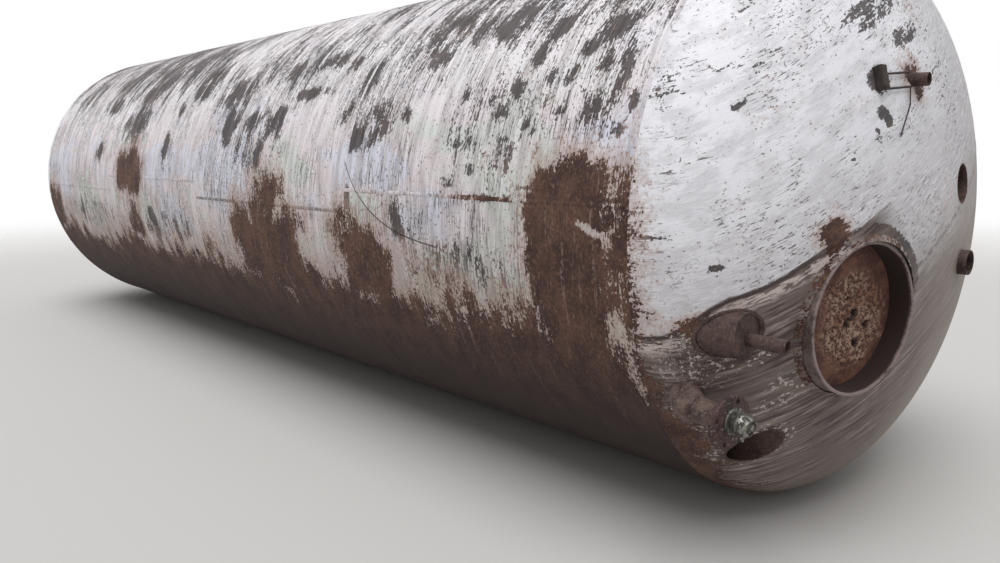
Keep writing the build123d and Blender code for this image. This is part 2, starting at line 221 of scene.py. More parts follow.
def finish_named(name):
    """A new material, its node tree and its surface shader."""
    made = bpy.data.materials.new(name)
    made.use_nodes = True
    return made, made.node_tree, made.node_tree.nodes["Principled BSDF"]


def set_surface(tree, surface, colour, rough, height, depth):
    """Connects colour, roughness and relief. depth is the relief's real height in metres.

    The IOR of 1.5 is that of oil paint and rust, and the shader's own for a metal.
    """
    tree.links.new(colour, surface.inputs["Base Color"])
    tree.links.new(rough, surface.inputs["Roughness"])
    surface.inputs["Metallic"].default_value = 0.0
    surface.inputs["IOR"].default_value = 1.5
    bump = add(tree, "ShaderNodeBump", {"Height": height, "Distance": depth, "Strength": 1.0})
    tree.links.new(bump, surface.inputs["Normal"])


# %% [markdown]
# ## Places that a pattern can follow
# Brush strokes and runs go round the shell, so its patterns are drawn on the unrolled
# plate: metres along the tank, and metres of climb from the near side's middle. The cut
# where the unrolled plate ends is under the belly, where the tank lies on the ground. On
# the heads the strokes run along the weld seam, so its patterns are drawn on u, v and x.

# %% Unrolled plate and head places
def unrolled_plate(tree):
    """The place on the unrolled plate, its climb alone, and the height above the axis."""
    where = add(tree, "ShaderNodeTexCoord", out="Object")
    level = add(tree, "ShaderNodeVectorMath", {0: where, 1: AXIS_MIDDLE}, operation="SUBTRACT")
    parts = add(tree, "ShaderNodeSeparateXYZ", {0: level}).node
    turn = add(tree, "ShaderNodeMath", {0: parts.outputs["Y"], 1: parts.outputs["Z"]}, operation="ARCTAN2")
    climb = add(tree, "ShaderNodeMath", {0: turn, 1: TANK_RADIUS, 2: CROWN_CLIMB},
                operation="MULTIPLY_ADD")
    place = add(tree, "ShaderNodeCombineXYZ", {"X": parts.outputs["X"], "Y": climb})
    return place, climb, parts.outputs["Z"]


def seam_place(tree):
    """A place on a head whose second axis runs along the strokes, and its u and v alone."""
    where = add(tree, "ShaderNodeTexCoord", out="Object")
    level = add(tree, "ShaderNodeVectorMath", {0: where, 1: AXIS_MIDDLE}, operation="SUBTRACT")
    u = add(tree, "ShaderNodeVectorMath", {0: level, 1: ALONG_SEAM}, out="Value", operation="DOT_PRODUCT")
    v = add(tree, "ShaderNodeVectorMath", {0: level, 1: ACROSS_SEAM}, out="Value", operation="DOT_PRODUCT")
    parts = add(tree, "ShaderNodeSeparateXYZ", {0: level}).node
    place = add(tree, "ShaderNodeCombineXYZ", {"X": v, "Y": u, "Z": parts.outputs["X"]})
    return place, u, v


# %% [markdown]
# ## Brushed white paint that is worn to rust
# The shell's finish is a white oil paint brushed round the tank by hand on rolled steel
# plate. Three things have happened to it. Dirt has settled in the brush marks and shows
# them as fine dark strokes. Blotches of the dark undercoat show where the top coat has
# flaked, most of all on the crown. And rust has come through from below and in patches.
# An image could be painted for this, but it would blur close by. Here the mesh carries soft
# fields, bare for rust and flaked for the undercoat, which are 0 where a patch ends,
# positive inside it and negative outside. The shader adds noise to them, which breaks the
# edge into tongues, crumbs and single flecks. Bristle marks are about 1 mm wide on the real
# tank. Here the finest are 6 mm, because a pixel of the picture covers 3 to 10 mm of plate.
# To the eye the sound paint has a soft sheen, and the undercoat and the rust are dull.

# %% Rust, and fields broken up by noise
def rust_colour(tree, place):
    """Dull brown rust, with broad clouds and fine grains. Returns its colour and its grains."""
    clouds = drawn_noise(tree, place, (0.14, 0.20, 0.14), 6, 0.65, 3.1)
    grains = drawn_noise(tree, place, (0.010, 0.016, 0.010), 3, 0.7, 7.7)
    brown = blend_colour(tree, rises(tree, clouds, 0.38, 0.62), "3a241e", "5c4135")
    brown = blend_colour(tree, rises(tree, grains, 0.52, 0.70, 0.6), brown, "86644f")
    return blend_colour(tree, rises(tree, grains, 0.47, 0.34, 0.6), brown, "291a17"), grains


def broken_up(tree, field, *noises):
    """Adds noises to a soft field. Each is given with its gain and leaves the mean alone."""
    for value, gain in noises:
        field = add(tree, "ShaderNodeMath", {0: value, 1: gain, 2: sums(tree, field, -0.5, gain)},
                    operation="MULTIPLY_ADD")
    return field


def worn_layers(tree, place, strokes, sound_with_painted_light, light, dark, chipping, scratching):
    """Colour, roughness and relief of worn paint, and where it has rusted.

    strokes are the width and length of a brush mark. More chipping gives more chips, and
    more scratching more dark strokes.
    """
    across, along = strokes
    bare = add(tree, "ShaderNodeAttribute", out="Fac", attribute_name="bare")
    flaked = add(tree, "ShaderNodeAttribute", out="Fac", attribute_name="flaked")
    streaks = drawn_noise(tree, place, (across, along, along), 2, 0.6, 1.3)
    bands = drawn_noise(tree, place, (across * 7, along * 2.5, along), 4, 0.6, 5.9)
    ragged = drawn_noise(tree, place, (0.12, 0.24, 0.14), 8, 0.72, 2.2)
    blotchy = drawn_noise(tree, place, (0.06, 0.24, 0.12), 8, 0.74, 14.2)
    crumbs = drawn_noise(tree, place, (0.011, 0.018, 0.011), 3, 0.65, 17.1)
    wear = drawn_noise(tree, place, (0.30, 0.35, 0.35), 3, 0.6, 8.4)
    paint = blend_colour(tree, rises(tree, bands, 0.58, 0.40, 0.45), sound_with_painted_light, dark)
    paint = blend_colour(tree, rises(tree, streaks, 0.50, 0.66, 0.6), paint, light)
    near_flakes = rises(tree, flaked, -0.8, 0.4, 0.7)
    scratched = add(tree, "ShaderNodeMath", {0: rises(tree, wear, 0.42, 0.56), 1: near_flakes},
                    operation="MAXIMUM")
    scratches = drawn_noise(tree, place, (across * 0.9, along * 0.7, along * 0.7), 3, 0.7, 25.3)
    marks = times(tree, rises(tree, scratches, scratching, scratching - 0.03, 0.9), scratched)
    paint = blend_colour(tree, marks, paint, "3a3230")

    flaking = broken_up(tree, flaked, (blotchy, 5.6), (crumbs, 2.8), (streaks, 2.2))
    blotch = rises(tree, flaking, 0.0, 0.14, 0.92)
    under = blend_colour(tree, rises(tree, bands, 0.40, 0.60), "1e1717", "3d3232")
    under = blend_colour(tree, rises(tree, streaks, 0.54, 0.64, 0.15), under, "857c79")
    paint = blend_colour(tree, blotch, paint, under)

    rusting = broken_up(tree, bare, (ragged, 6.0), (crumbs, 3.6), (streaks, 1.8))
    beside_rust = rises(tree, rusting, -3.2, -0.4)
    loosened = sums(tree, sums(tree, crumbs, beside_rust, 0.07), rises(tree, wear, 0.35, 0.65), 0.05)
    chips = rises(tree, loosened, 0.72 - chipping, 0.735 - chipping, 0.9)
    paint = blend_colour(tree, chips, paint, "41352f")
    paint = blend_colour(tree, rises(tree, rusting, -1.6, -0.1, 0.6), paint, "b09488")
    rust, grains = rust_colour(tree, place)
    rusted = rises(tree, rusting, 0.0, 0.12)
    colour = blend_colour(tree, rusted, paint, rust)
    left_over = times(tree, rises(tree, crumbs, 0.60, 0.64, 0.8), rises(tree, rusting, 1.1, 0.2))
    colour = blend_colour(tree, times(tree, left_over, rusted), colour, "b3a299")

    scuffs = drawn_noise(tree, place, (0.022, 0.26, 0.2), 4, 0.65, 31.0)
    scuffed = times(tree, rises(tree, scuffs, 0.585, 0.64, 0.38), rises(tree, grains, 0.40, 0.56))
    colour = blend_colour(tree, times(tree, scuffed, rusted), colour, "9a877c")

    worn = sums(tree, rusted, blotch, 0.9)
    rough = add(tree, "ShaderNodeMath", {0: worn, 1: 0.28, 2: 0.56}, operation="MULTIPLY_ADD")
    relief = sums(tree, sums(tree, streaks, crumbs, 0.5), worn, -0.7)
    relief = sums(tree, relief, times(tree, grains, worn), 0.8)
    return colour, rough, relief, rusted


# %% The shell's finish
SCORE_START = 1.7
SCORE_CURVE = 3.9
SCORE_DROP = 0.40
SCORE_LEVEL = -0.13


def scored_line(tree, place, climb):
    """A curved line dragged through the paint of the second course, 6 to 10 mm wide.

    It drops from its start and levels out, as an exponential does.
    """
    x = add(tree, "ShaderNodeSeparateXYZ", {0: place})
    along = add(tree, "ShaderNodeMath", {0: x, 1: -SCORE_CURVE, 2: SCORE_CURVE * SCORE_START},
                operation="MULTIPLY_ADD")
    fall = add(tree, "ShaderNodeMath", {0: along}, operation="EXPONENT")
    line = add(tree, "ShaderNodeMath", {0: fall, 1: SCORE_DROP, 2: SCORE_LEVEL}, operation="MULTIPLY_ADD")
    away = add(tree, "ShaderNodeMath", {0: climb, 1: line}, operation="SUBTRACT")
    away = add(tree, "ShaderNodeMath", {0: away}, operation="ABSOLUTE")
    wider = sums(tree, 0.003, fall, 0.002)
    on_line = add(tree, "ShaderNodeMath", {0: away, 1: wider}, operation="LESS_THAN")
    between = times(tree, rises(tree, x, 1.69, 1.72), rises(tree, x, 2.48, 2.40))
    return times(tree, on_line, times(tree, between, 0.9))


def brushed_shell_paint(name, strokes, dirt_and_shade, extra_relief=None):
    """White paint brushed round the shell, a little pink, green or blue from place to place.

    It is painted whiter on the crown and duller low down as painted light and shade, and the rust under
    the belly is darkened to nearly black as painted shade.
    """
    made, tree, surface = finish_named(name)
    place, climb, level = unrolled_plate(tree)
    tint = drawn_noise(tree, place, (0.7, 0.35, 1.0), 2, 0.5, 4.4)
    sound_with_painted_light = blend_colour(tree, rises(tree, tint, 0.40, 0.50), "d6dcd7", "e5dade")
    sound_with_painted_light = blend_colour(tree, rises(tree, tint, 0.52, 0.62), sound_with_painted_light, "dadcea")
    # Painted light and shade: the paint is painted whiter towards the crown and duller and browner low
    # down, as the sky lights the shell.
    sound_with_painted_light = blend_colour(tree, rises(tree, level, 0.25, 0.75, 0.80), sound_with_painted_light, "f5f1f6")
    sound_with_painted_light = blend_colour(tree, rises(tree, level, 0.3, -0.7, 0.8), sound_with_painted_light, "a09388")
    # The paint is darkened by a share: dirt, and on the seam beads also a painted shade that stands for the
    # bead's dark shadow line.
    sound_with_painted_light = blend_colour(tree, dirt_and_shade, sound_with_painted_light, "5d5350")
    colour, rough, relief, rusted = worn_layers(tree, place, strokes, sound_with_painted_light, "f7f4f6", "968d8c",
                                                chipping=0.035, scratching=0.450)
    # Painted shade: rust low under the belly is darkened towards nearly black.
    painted_belly_shade = times(tree, rusted, rises(tree, level, -0.25, -0.85, 0.85))
    colour = blend_colour(tree, painted_belly_shade, colour, "241816")
    colour = blend_colour(tree, scored_line(tree, place, climb), colour, "2b2321")
    if extra_relief:
        relief = sums(tree, relief, extra_relief(tree, place), 0.25)
    set_surface(tree, surface, colour, rough, relief, 0.0012)
    return made


SHELL_PAINT = brushed_shell_paint("brushed_white_oil_paint_on_rolled_plate", (0.006, 0.16), 0.0)

# %% [markdown]
# ## The paint of the dished ends
# The heads have the same oil paint, brushed along their weld seam. It is painted whiter high up and
# greyer towards the far rim, as painted light and shade. Below an old paint line, where the coat was
# once masked, it is a brown and grey grime with paler streaks. That line is a level in v that wanders
# by noise, so it is drawn in the shader and not on the mesh. The third field, crumbs, marks where
# loose flakes of pale paint still cling to the grime.


# %% The heads' finish
def brushed_head_paint(name, strokes, extra_relief=None):
    """Whiter paint on the heads, with a dirty band below an old paint line."""
    made, tree, surface = finish_named(name)
    place, u, v = seam_place(tree)
    wander = drawn_noise(tree, place, (0.30, 0.45, 0.45), 4, 0.6, 6.1)
    # Painted light and shade: the paint is whiter high up and greyer towards the far rim, as the sky lights
    # the dish.
    sound_with_painted_light = blend_colour(tree, rises(tree, v, -0.75, -0.15), "f2f2f8", "c9c6ca")
    sound_with_painted_light = blend_colour(tree, rises(tree, u, 0.0, -0.5, 0.6), sound_with_painted_light, "a5a2a6")
    colour, rough, relief, rusted = worn_layers(tree, place, strokes, sound_with_painted_light, "efeff3", "bdbabe",
                                                chipping=0.0, scratching=0.405)

    bend = rises(tree, u, 1.00, 1.20, -0.09)
    edge = broken_up(tree, sums(tree, sums(tree, v, 0.326), bend), (wander, 0.05))
    fine = drawn_noise(tree, place, (0.010, 0.10, 0.05), 4, 0.7, 9.3)
    edge = broken_up(tree, edge, (fine, 0.02))
    masked = times(tree, rises(tree, edge, 0.0, 0.006), rises(tree, u, 0.28, 0.50))
    faded = rises(tree, broken_up(tree, v, (wander, 0.5)), -0.22, 0.20)
    grimy = add(tree, "ShaderNodeMath", {0: masked, 1: faded}, operation="MAXIMUM")
    streaks = drawn_noise(tree, place, (0.015, 0.26, 0.26), 3, 0.75, 11.0)
    clouds = drawn_noise(tree, place, (0.16, 0.35, 0.35), 4, 0.65, 12.0)
    grime = blend_colour(tree, rises(tree, streaks, 0.38, 0.58), "3b2d2a", "7a6b65")
    grime = blend_colour(tree, rises(tree, streaks, 0.55, 0.66, 0.7), grime, "b3a8a3")
    grime = blend_colour(tree, rises(tree, clouds, 0.54, 0.42, 0.7), grime, "6a5c56")
    grime = blend_colour(tree, rises(tree, clouds, 0.54, 0.64, 0.6), grime, "483833")
    dusty = sums(tree, rises(tree, u, 0.60, 0.05, 0.60), rises(tree, v, 0.35, 0.85, 0.40))
    grime = blend_colour(tree, rises(tree, dusty, 0.0, 1.0), grime, "8a7f77")
    colour = blend_colour(tree, grimy, colour, grime)

    near_inlet = rises(tree, u, 0.45, 0.75)
    shore = times(tree, rises(tree, edge, -0.014, -0.006), rises(tree, edge, 0.010, 0.002))
    colour = blend_colour(tree, times(tree, shore, near_inlet), colour, "3b2d2a")
    under_edge = times(tree, rises(tree, edge, 0.006, 0.014), rises(tree, edge, 0.075, 0.030))
    flecks = times(tree, under_edge, rises(tree, fine, 0.46, 0.52, 0.9))
    colour = blend_colour(tree, times(tree, flecks, near_inlet), colour, "cdbfba")
    crumbs = add(tree, "ShaderNodeAttribute", out="Fac", attribute_name="crumbs")
    torn = drawn_noise(tree, place, (0.014, 0.034, 0.014), 4, 0.7, 21.0)
    crumbly = rises(tree, broken_up(tree, crumbs, (torn, 8.0)), 1.0, 1.3)
    crumbly = times(tree, crumbly, rises(tree, crumbs, 0.0, 0.2))
    pale = blend_colour(tree, rises(tree, torn, 0.50, 0.62), "40332f", "bfb2ab")
    colour = blend_colour(tree, crumbly, colour, pale)
    rust = rust_colour(tree, place)[0]
    colour = blend_colour(tree, rusted, colour, rust)
    relief = sums(tree, sums(tree, relief, grimy, -0.4), times(tree, crumbly, torn), 1.5)
    if extra_relief:
        relief = sums(tree, relief, extra_relief(tree, place), 0.25)
        colour = blend_colour(tree, rises(tree, torn, 0.40, 0.60, 0.7), colour, "5d5450")
    set_surface(tree, surface, colour, rough, relief, 0.0012)
    return made


HEAD_PAINT = brushed_head_paint("brushed_white_oil_paint_on_dished_plate", (0.006, 0.07))
print("finishes", [m.name for m in bpy.data.materials if m.name.startswith("brushed")])

# %% [markdown]
# ## How worn each place is
# The three fields, bare, flaked and crumbs, are plain functions of the place. Rust has taken
# the belly up to a ragged line, and the patches listed here above it. One strip of paint is
# left in the near patch. Flaking grows towards the crown, with blotches below it. In the
# speckled places the flaking stays just under its level, so that only the shader's noise
# lifts it over, in small flecks. Each patch is a rounded box: its middle, its half sizes and
# the width over which its edge breaks up. Each blotch is an oval: its middle and its half
# sizes. Both are in metres along the tank and metres of climb.

# %% Rust patches and blotches on the shell
RUST_PATCHES = {
    "near patch": (3.17, -0.35, 0.205, 0.64, 0.06),
    "near patch foot": (3.12, -0.78, 0.42, 0.46, 0.12),
    "flecks at the near seam": (3.45, -0.28, 0.040, 0.50, 0.12),
    "far patch": (-1.31, 0.14, 0.23, 0.16, 0.07),
    "run below the far patch": (-1.26, -0.16, 0.12, 0.17, 0.10),
    "low patch at the far end": (-3.36, -0.24, 0.24, 0.21, 0.10),
    "middle patch": (0.86, -0.28, 0.42, 0.27, 0.11),
    "runs above the middle patch": (0.95, 0.03, 0.12, 0.13, 0.10),
    "second middle patch": (1.86, -0.27, 0.23, 0.20, 0.10),
    "foot under the second middle patch": (1.75, -0.57, 0.60, 0.22, 0.10),
    "foot under the third course": (-0.45, -0.66, 1.25, 0.27, 0.10),
}
PAINT_LEFT = (3.30, 0.026, 0.080, 0.016, 0.012)
PAINT_LEFT_SLOPE = -0.36
BELLY_LINE = -0.40
BELLY_SOFT = 0.14
BLOTCHES = [
    (2.74, 0.117, 0.160, 0.010), (2.98, 0.165, 0.080, 0.010),
    (-1.34, 0.54, 0.200, 0.132), (0.27, 0.70, 0.164, 0.098), (0.31, 0.48, 0.115, 0.095),
    (0.62, 0.51, 0.091, 0.059), (0.89, 0.48, 0.120, 0.068), (1.21, 0.64, 0.154, 0.033),
    (0.78, 0.29, 0.049, 0.080), (-0.61, 0.33, 0.055, 0.090), (-0.55, 0.62, 0.055, 0.060),
    (0.89, 0.83, 0.089, 0.060), (1.24, 0.86, 0.103, 0.060), (1.49, 0.83, 0.052, 0.060),
    (1.63, 0.52, 0.047, 0.055), (1.90, 0.50, 0.042, 0.060), (1.78, 0.37, 0.052, 0.050),
    (1.91, 0.37, 0.050, 0.050), (1.98, 0.40, 0.040, 0.040), (2.13, 0.47, 0.031, 0.040),
    (-0.87, -0.25, 0.040, 0.110), (-0.91, -0.15, 0.050, 0.050), (-2.55, -0.20, 0.050, 0.070),
    (-1.22, 0.91, 0.164, 0.100), (-0.30, 0.77, 0.142, 0.085), (-0.32, 0.90, 0.149, 0.075),
    (1.71, 0.72, 0.075, 0.085), (2.82, 0.56, 0.036, 0.040), (2.77, 0.46, 0.032, 0.032),
    (2.52, 0.54, 0.024, 0.024), (2.69, 0.52, 0.022, 0.022), (2.91, 0.41, 0.026, 0.026),
    (2.97, 0.38, 0.020, 0.018), (2.54, 0.34, 0.022, 0.018), (2.61, 0.34, 0.022, 0.026),
    (2.63, 0.23, 0.022, 0.028), (3.08, 0.45, 0.028, 0.028), (3.08, 0.60, 0.028, 0.035),
    (2.96, 0.61, 0.030, 0.030), (3.23, 0.46, 0.050, 0.058), (3.37, 0.39, 0.020, 0.025),
    (3.40, 0.49, 0.024, 0.034), (2.13, 0.02, 0.042, 0.055), (2.17, -0.05, 0.048, 0.045),
    (2.51, 0.17, 0.028, 0.016), (3.22, 0.64, 0.032, 0.056), (2.64, 0.98, 0.111, 0.071),
    (2.51, 0.91, 0.129, 0.079), (2.19, 1.02, 0.102, 0.093), (2.21, 0.77, 0.070, 0.081),
    (2.00, 0.84, 0.060, 0.064), (2.90, 0.84, 0.058, 0.047), (2.86, 0.71, 0.036, 0.048),
    (3.21, 0.81, 0.069, 0.063), (3.10, 0.73, 0.043, 0.042), (1.74, 0.07, 0.038, 0.050),
    (1.58, -0.08, 0.050, 0.050), (0.05, -0.29, 0.035, 0.060), (-0.45, -0.27, 0.035, 0.065),
    (-2.00, 0.71, 0.133, 0.070), (-1.38, 0.79, 0.117, 0.090), (-2.03, 0.32, 0.077, 0.060),
]
SPECKLED = [
    (2.52, -0.19, 0.36, 0.15), (1.88, 0.47, 0.22, 0.17), (0.70, 0.33, 0.30, 0.20),
    (2.20, -0.02, 0.16, 0.12), (-2.30, -0.20, 0.60, 0.16), (-0.60, -0.22, 0.60, 0.12),
    (2.75, 0.42, 0.34, 0.24), (3.28, 0.58, 0.10, 0.26),
]
print("rust patches", len(RUST_PATCHES), "blotches", len(BLOTCHES), "speckled places", len(SPECKLED))


# %% The three fields on the shell
def smooth_step(value, low, high):
    """0 below low, 1 above high, and smooth between."""
    share = min(max((value - low) / (high - low), 0), 1)
    return share * share * (3 - 2 * share)


def plate_climb(point):
    """Metres of climb round the shell from the near side's middle."""
    turn = math.atan2(point.y, point.z - AXIS_HEIGHT)
    return TANK_RADIUS * (turn + math.pi / 2)


def patch_depth(across, along, patch):
    """How deep a place is inside a rounded box: 0 at its edge, 1 a soft width inside."""
    middle_across, middle_along, half_across, half_along, soft = patch
    corner = 0.5 * min(half_across, half_along)
    past_across = abs(across - middle_across) - half_across + corner
    past_along = abs(along - middle_along) - half_along + corner
    outside = math.hypot(max(past_across, 0), max(past_along, 0)) + min(max(past_across, past_along), 0)
    return (corner - outside) / soft


def from_oval(across, along, oval):
    """How far a place is from the middle of an oval, where 1 is on its edge."""
    middle_across, middle_along, half_across, half_along = oval
    return math.hypot((across - middle_across) / half_across, (along - middle_along) / half_along)


def shell_wear(point):
    """The fields bare, flaked and crumbs at a place on the shell, and on the heads' skirts."""
    climb = plate_climb(point)
    height = climb if climb < CROWN_CLIMB else 2 * CROWN_CLIMB - climb
    spot = Vector((point.x, climb * 0.7, 5))
    waves = 0.16 * noise.noise(spot * 1.1) + 0.12 * noise.noise(spot * 2.9) + 0.05 * noise.noise(spot * 7)
    bare = (BELLY_LINE - waves - height) / BELLY_SOFT
    if climb < CROWN_CLIMB:
        x = point.x + 0.05 * noise.noise(spot * 4) + 0.03 * noise.noise(spot * 11)
        along = climb + 0.06 * noise.noise(spot * 3.1 + Vector((0, 0, 7)))
        bare = max([bare] + [patch_depth(x, along, patch) for patch in RUST_PATCHES.values()])
    sloped = climb - (point.x - PAINT_LEFT[0]) * PAINT_LEFT_SLOPE
    bare = min(bare, -1.2 * patch_depth(point.x, sloped, PAINT_LEFT))
    clustered = 0.9 * noise.noise(Vector((point.x * 2.6, climb * 1.3, 11)))
    sway_x = 0.6 * noise.noise(point * 13)
    sway_climb = 0.6 * noise.noise(point * 13 + Vector((5, 5, 5)))
    flaked = -1.8 + 1.82 * smooth_step(height, 0.20, 1.00) + 0.25 * smooth_step(-point.x, -1.5, 2.5)
    flaked += clustered * smooth_step(height, 0.2, 0.8)
    if climb < CROWN_CLIMB:
        for middle_x, middle_climb, half_x, half_climb in BLOTCHES:
            away = math.hypot((point.x - middle_x) / half_x + sway_x,
                              (climb - middle_climb) / (half_climb * 1.15) + sway_climb)
            flaked = max(flaked, 1.3 * (1.15 - away))
        for oval in SPECKLED:
            past_middle = max(from_oval(point.x, climb, oval) - 0.6, 0)
            flaked = max(flaked, -0.05 - 1.6 * past_middle)
    return min(max(bare, -2), 2), min(max(flaked, -3), 2), 0.0


def wear_skin(bm, wear, buried=None):
    """Writes the wear fields on a mesh. A vertex that is buried, on the inner face, is rusty."""
    layers = [bm.verts.layers.float.new(name) for name in ("bare", "flaked", "crumbs")]
    for vert in bm.verts:
        values = (2.0, 0.0, 0.0) if buried and buried(vert.co) else wear(vert.co)
        for layer, value in zip(layers, values):
            vert[layer] = value


# %% [markdown]
# ## Shell courses
# The shell is four courses of rolled plate, each in two halves. A half is a straight line
# of points along the tank, spun half way round its axis, pressed flat where it lies on the
# ground, and given its 10 mm wall. Rolled plate is never quite true, so each half is eased
# in by up to 3 mm between its welds, which the highlights show.

# %% Roll a plate
COURSE_WIDTHS = (1.735, 1.765, 1.700, 1.700)
SEAM_ANGLES = (5.5, 0.4, 5.5, 0.4)
EASE_DEPTH = 0.003


def ease_in(x, angle_deg, start, end):
    """How far a plate lies inside the true circle, in metres, from 0 at its welds to 3 mm."""
    window = math.sin(math.pi * min(max((x - start) / (end - start), 0), 1))
    low = smooth_step(math.sin(math.radians(angle_deg)), -0.9, -0.5)
    swell = noise.noise(Vector((x * 1.6, math.cos(math.radians(angle_deg)) * 2.2,
                                math.sin(math.radians(angle_deg)) * 2.2)))
    return EASE_DEPTH * window * low * (0.5 + 0.5 * swell)


def half_course(start, end, angle, turn):
    """One plate from an angle above the near side, through a half turn, as a thin wall."""
    bm = bmesh.new()
    place = AXIS_MIDDLE + Vector((0, -math.cos(angle), math.sin(angle))) * TANK_RADIUS
    first = bm.verts.new(place + ALONG_TANK * start)
    last = bm.verts.new(place + ALONG_TANK * end)
    edge = bm.edges.new((first, last))
    bmesh.ops.subdivide_edges(bm, edges=[edge], cuts=71)
    bmesh.ops.spin(bm, geom=bm.verts[:] + bm.edges[:], cent=AXIS_MIDDLE, axis=-ALONG_TANK,
                   angle=turn, steps=156)
    for vert in bm.verts:
        out = Vector((0, vert.co.y, vert.co.z - AXIS_HEIGHT))
        angle_here = math.degrees(math.atan2(out.z, -out.y))
        vert.co -= out.normalized() * ease_in(vert.co.x, angle_here, start, end)
        vert.co.z = max(vert.co.z, 0)
    close_skin(bm)
    return bm


def outward(bm):
    """Turns an open skin's faces away from the tank's axis."""
    face = bm.faces[:][0]
    off_axis = face.calc_center_median() - AXIS_MIDDLE
    if face.normal.dot(Vector((0, off_axis.y, off_axis.z))) < 0:
        bmesh.ops.reverse_faces(bm, faces=bm.faces)


def give_wall(bm, wall):
    """Thickens an outward-facing skin towards its inside."""
    bmesh.ops.solidify(bm, geom=bm.faces[:], thickness=wall)


# %% Make the eight plates
INNER_SHARE = 0.6


def inside_shell(point):
    """True on the inner face of the shell, which lies past this share of the wall."""
    return math.hypot(point.y, point.z - AXIS_HEIGHT) < TANK_RADIUS - SHELL_WALL * INNER_SHARE


course_edges = []
edge_x = HALF_LENGTH
for index, width in enumerate(COURSE_WIDTHS):
    angle = math.radians(SEAM_ANGLES[index])
    for side, turn in (("upper", math.pi), ("lower", -math.pi)):
        plate = half_course(edge_x - width, edge_x, angle, turn)
        outward(plate)
        give_wall(plate, SHELL_WALL)
        node = f"course_{index + 1}_{side}_plate"
        wear_skin(plate, shell_wear, inside_shell)
        make_piece(node + "_skin", plate, SHELL_PAINT, "shell_paint", node)
    course_edges.append((edge_x - width, edge_x))
    edge_x -= width

# %% [markdown]
# ## Dished ends
# Each end was pressed from two plates welded along a seam through its middle. A single
# point is spun to a quarter circle, flattened to the ellipse of the dish, and that curve is
# spun half way round the tank for each plate. The holes for the manhole, the sockets and
# the pipes are cut with exact Booleans, as they were cut with a torch after pressing.

# %% Spin a half dish
def half_dish(turn, end):
    """Half of a dished end, from the seam on the near side. end is 1 near and -1 far."""
    bm = bmesh.new()
    rim = bm.verts.new((0, 0, TANK_RADIUS))
    bmesh.ops.spin(bm, geom=[rim], cent=(0, 0, 0), axis=(0, 1, 0), angle=math.pi / 2, steps=64)
    for vert in bm.verts:
        vert.co.x *= HEAD_DEPTH / TANK_RADIUS
    skirt = bmesh.ops.extrude_vert_indiv(bm, verts=[rim])["verts"]
    bmesh.ops.translate(bm, verts=skirt, vec=(-HEAD_SKIRT, 0, 0))
    near_side = Matrix.Rotation(math.pi / 2 + SEAM_ROLL, 4, "X")
    bmesh.ops.transform(bm, matrix=near_side, verts=bm.verts)
    bmesh.ops.spin(bm, geom=bm.verts[:] + bm.edges[:], cent=(0, 0, 0), axis=(-1, 0, 0),
                   angle=turn, steps=150)
    bmesh.ops.translate(bm, verts=bm.verts, vec=DISH_MIDDLE)
    bmesh.ops.scale(bm, verts=bm.verts, vec=(end, 1, 1))
    for vert in bm.verts:
        vert.co.z = max(vert.co.z, 0)
    close_skin(bm)
    faces = sorted(bm.faces, key=lambda face: -abs(face.calc_center_median().x))
    if faces[0].normal.x * end < 0:
        bmesh.ops.reverse_faces(bm, faces=bm.faces)
    return bm


# %% Cutting tools
def round_cutter(bm, place, way, radius, low, high):
    """Adds a round bar along a way through a place, to cut a hole with."""
    placing = stand_at(place, way) @ Matrix.Translation((0, 0, (low + high) / 2))
    bmesh.ops.create_cone(bm, cap_ends=True, segments=96, radius1=radius, radius2=radius,
                          depth=high - low, matrix=placing)


def cut_with(bm, cutter):
    """Cuts one closed form with another and returns the result as a new bmesh."""
    forms = []
    for form in (bm, cutter):
        mesh = bpy.data.meshes.new("cutting")
        form.to_mesh(mesh)
        forms.append(bpy.data.objects.new("cutting", mesh))
        bpy.context.scene.collection.objects.link(forms[-1])
    boolean = forms[0].modifiers.new("cut", "BOOLEAN")
    boolean.object = forms[1]
    boolean.operation = "DIFFERENCE"
    boolean.solver = "EXACT"
    result = bmesh.new()
    result.from_object(forms[0], bpy.context.evaluated_depsgraph_get())
    for form in forms:
        bpy.data.meshes.remove(form.data)
    bm.free()
    cutter.free()
    return result


# %% The near head's holes
MANHOLE_RADIUS = 0.277
SOCKET_RADIUS = 0.0795
PIPE_RADIUS = 0.02415
STUB_RADIUS = 0.051
ELBOW_RADIUS = 0.05715
LEAN_ALONG_SEAM = math.radians(12.3)
LEAN_ACROSS_SEAM = math.radians(-4.3)
LIP_STAND = 0.012
manhole_lean = ALONG_SEAM * math.tan(LEAN_ALONG_SEAM) + ACROSS_SEAM * math.tan(LEAN_ACROSS_SEAM)
MANHOLE_WAY = (ALONG_TANK + manhole_lean).normalized()
manhole_spot = onto_head(head_place(*MANHOLE_UV))
MANHOLE_LIP = manhole_spot + off_head(manhole_spot) * LIP_STAND
DRAIN_SPOT = onto_head(head_place(*DRAIN_UV))
DRAIN_OUT = off_head(DRAIN_SPOT)


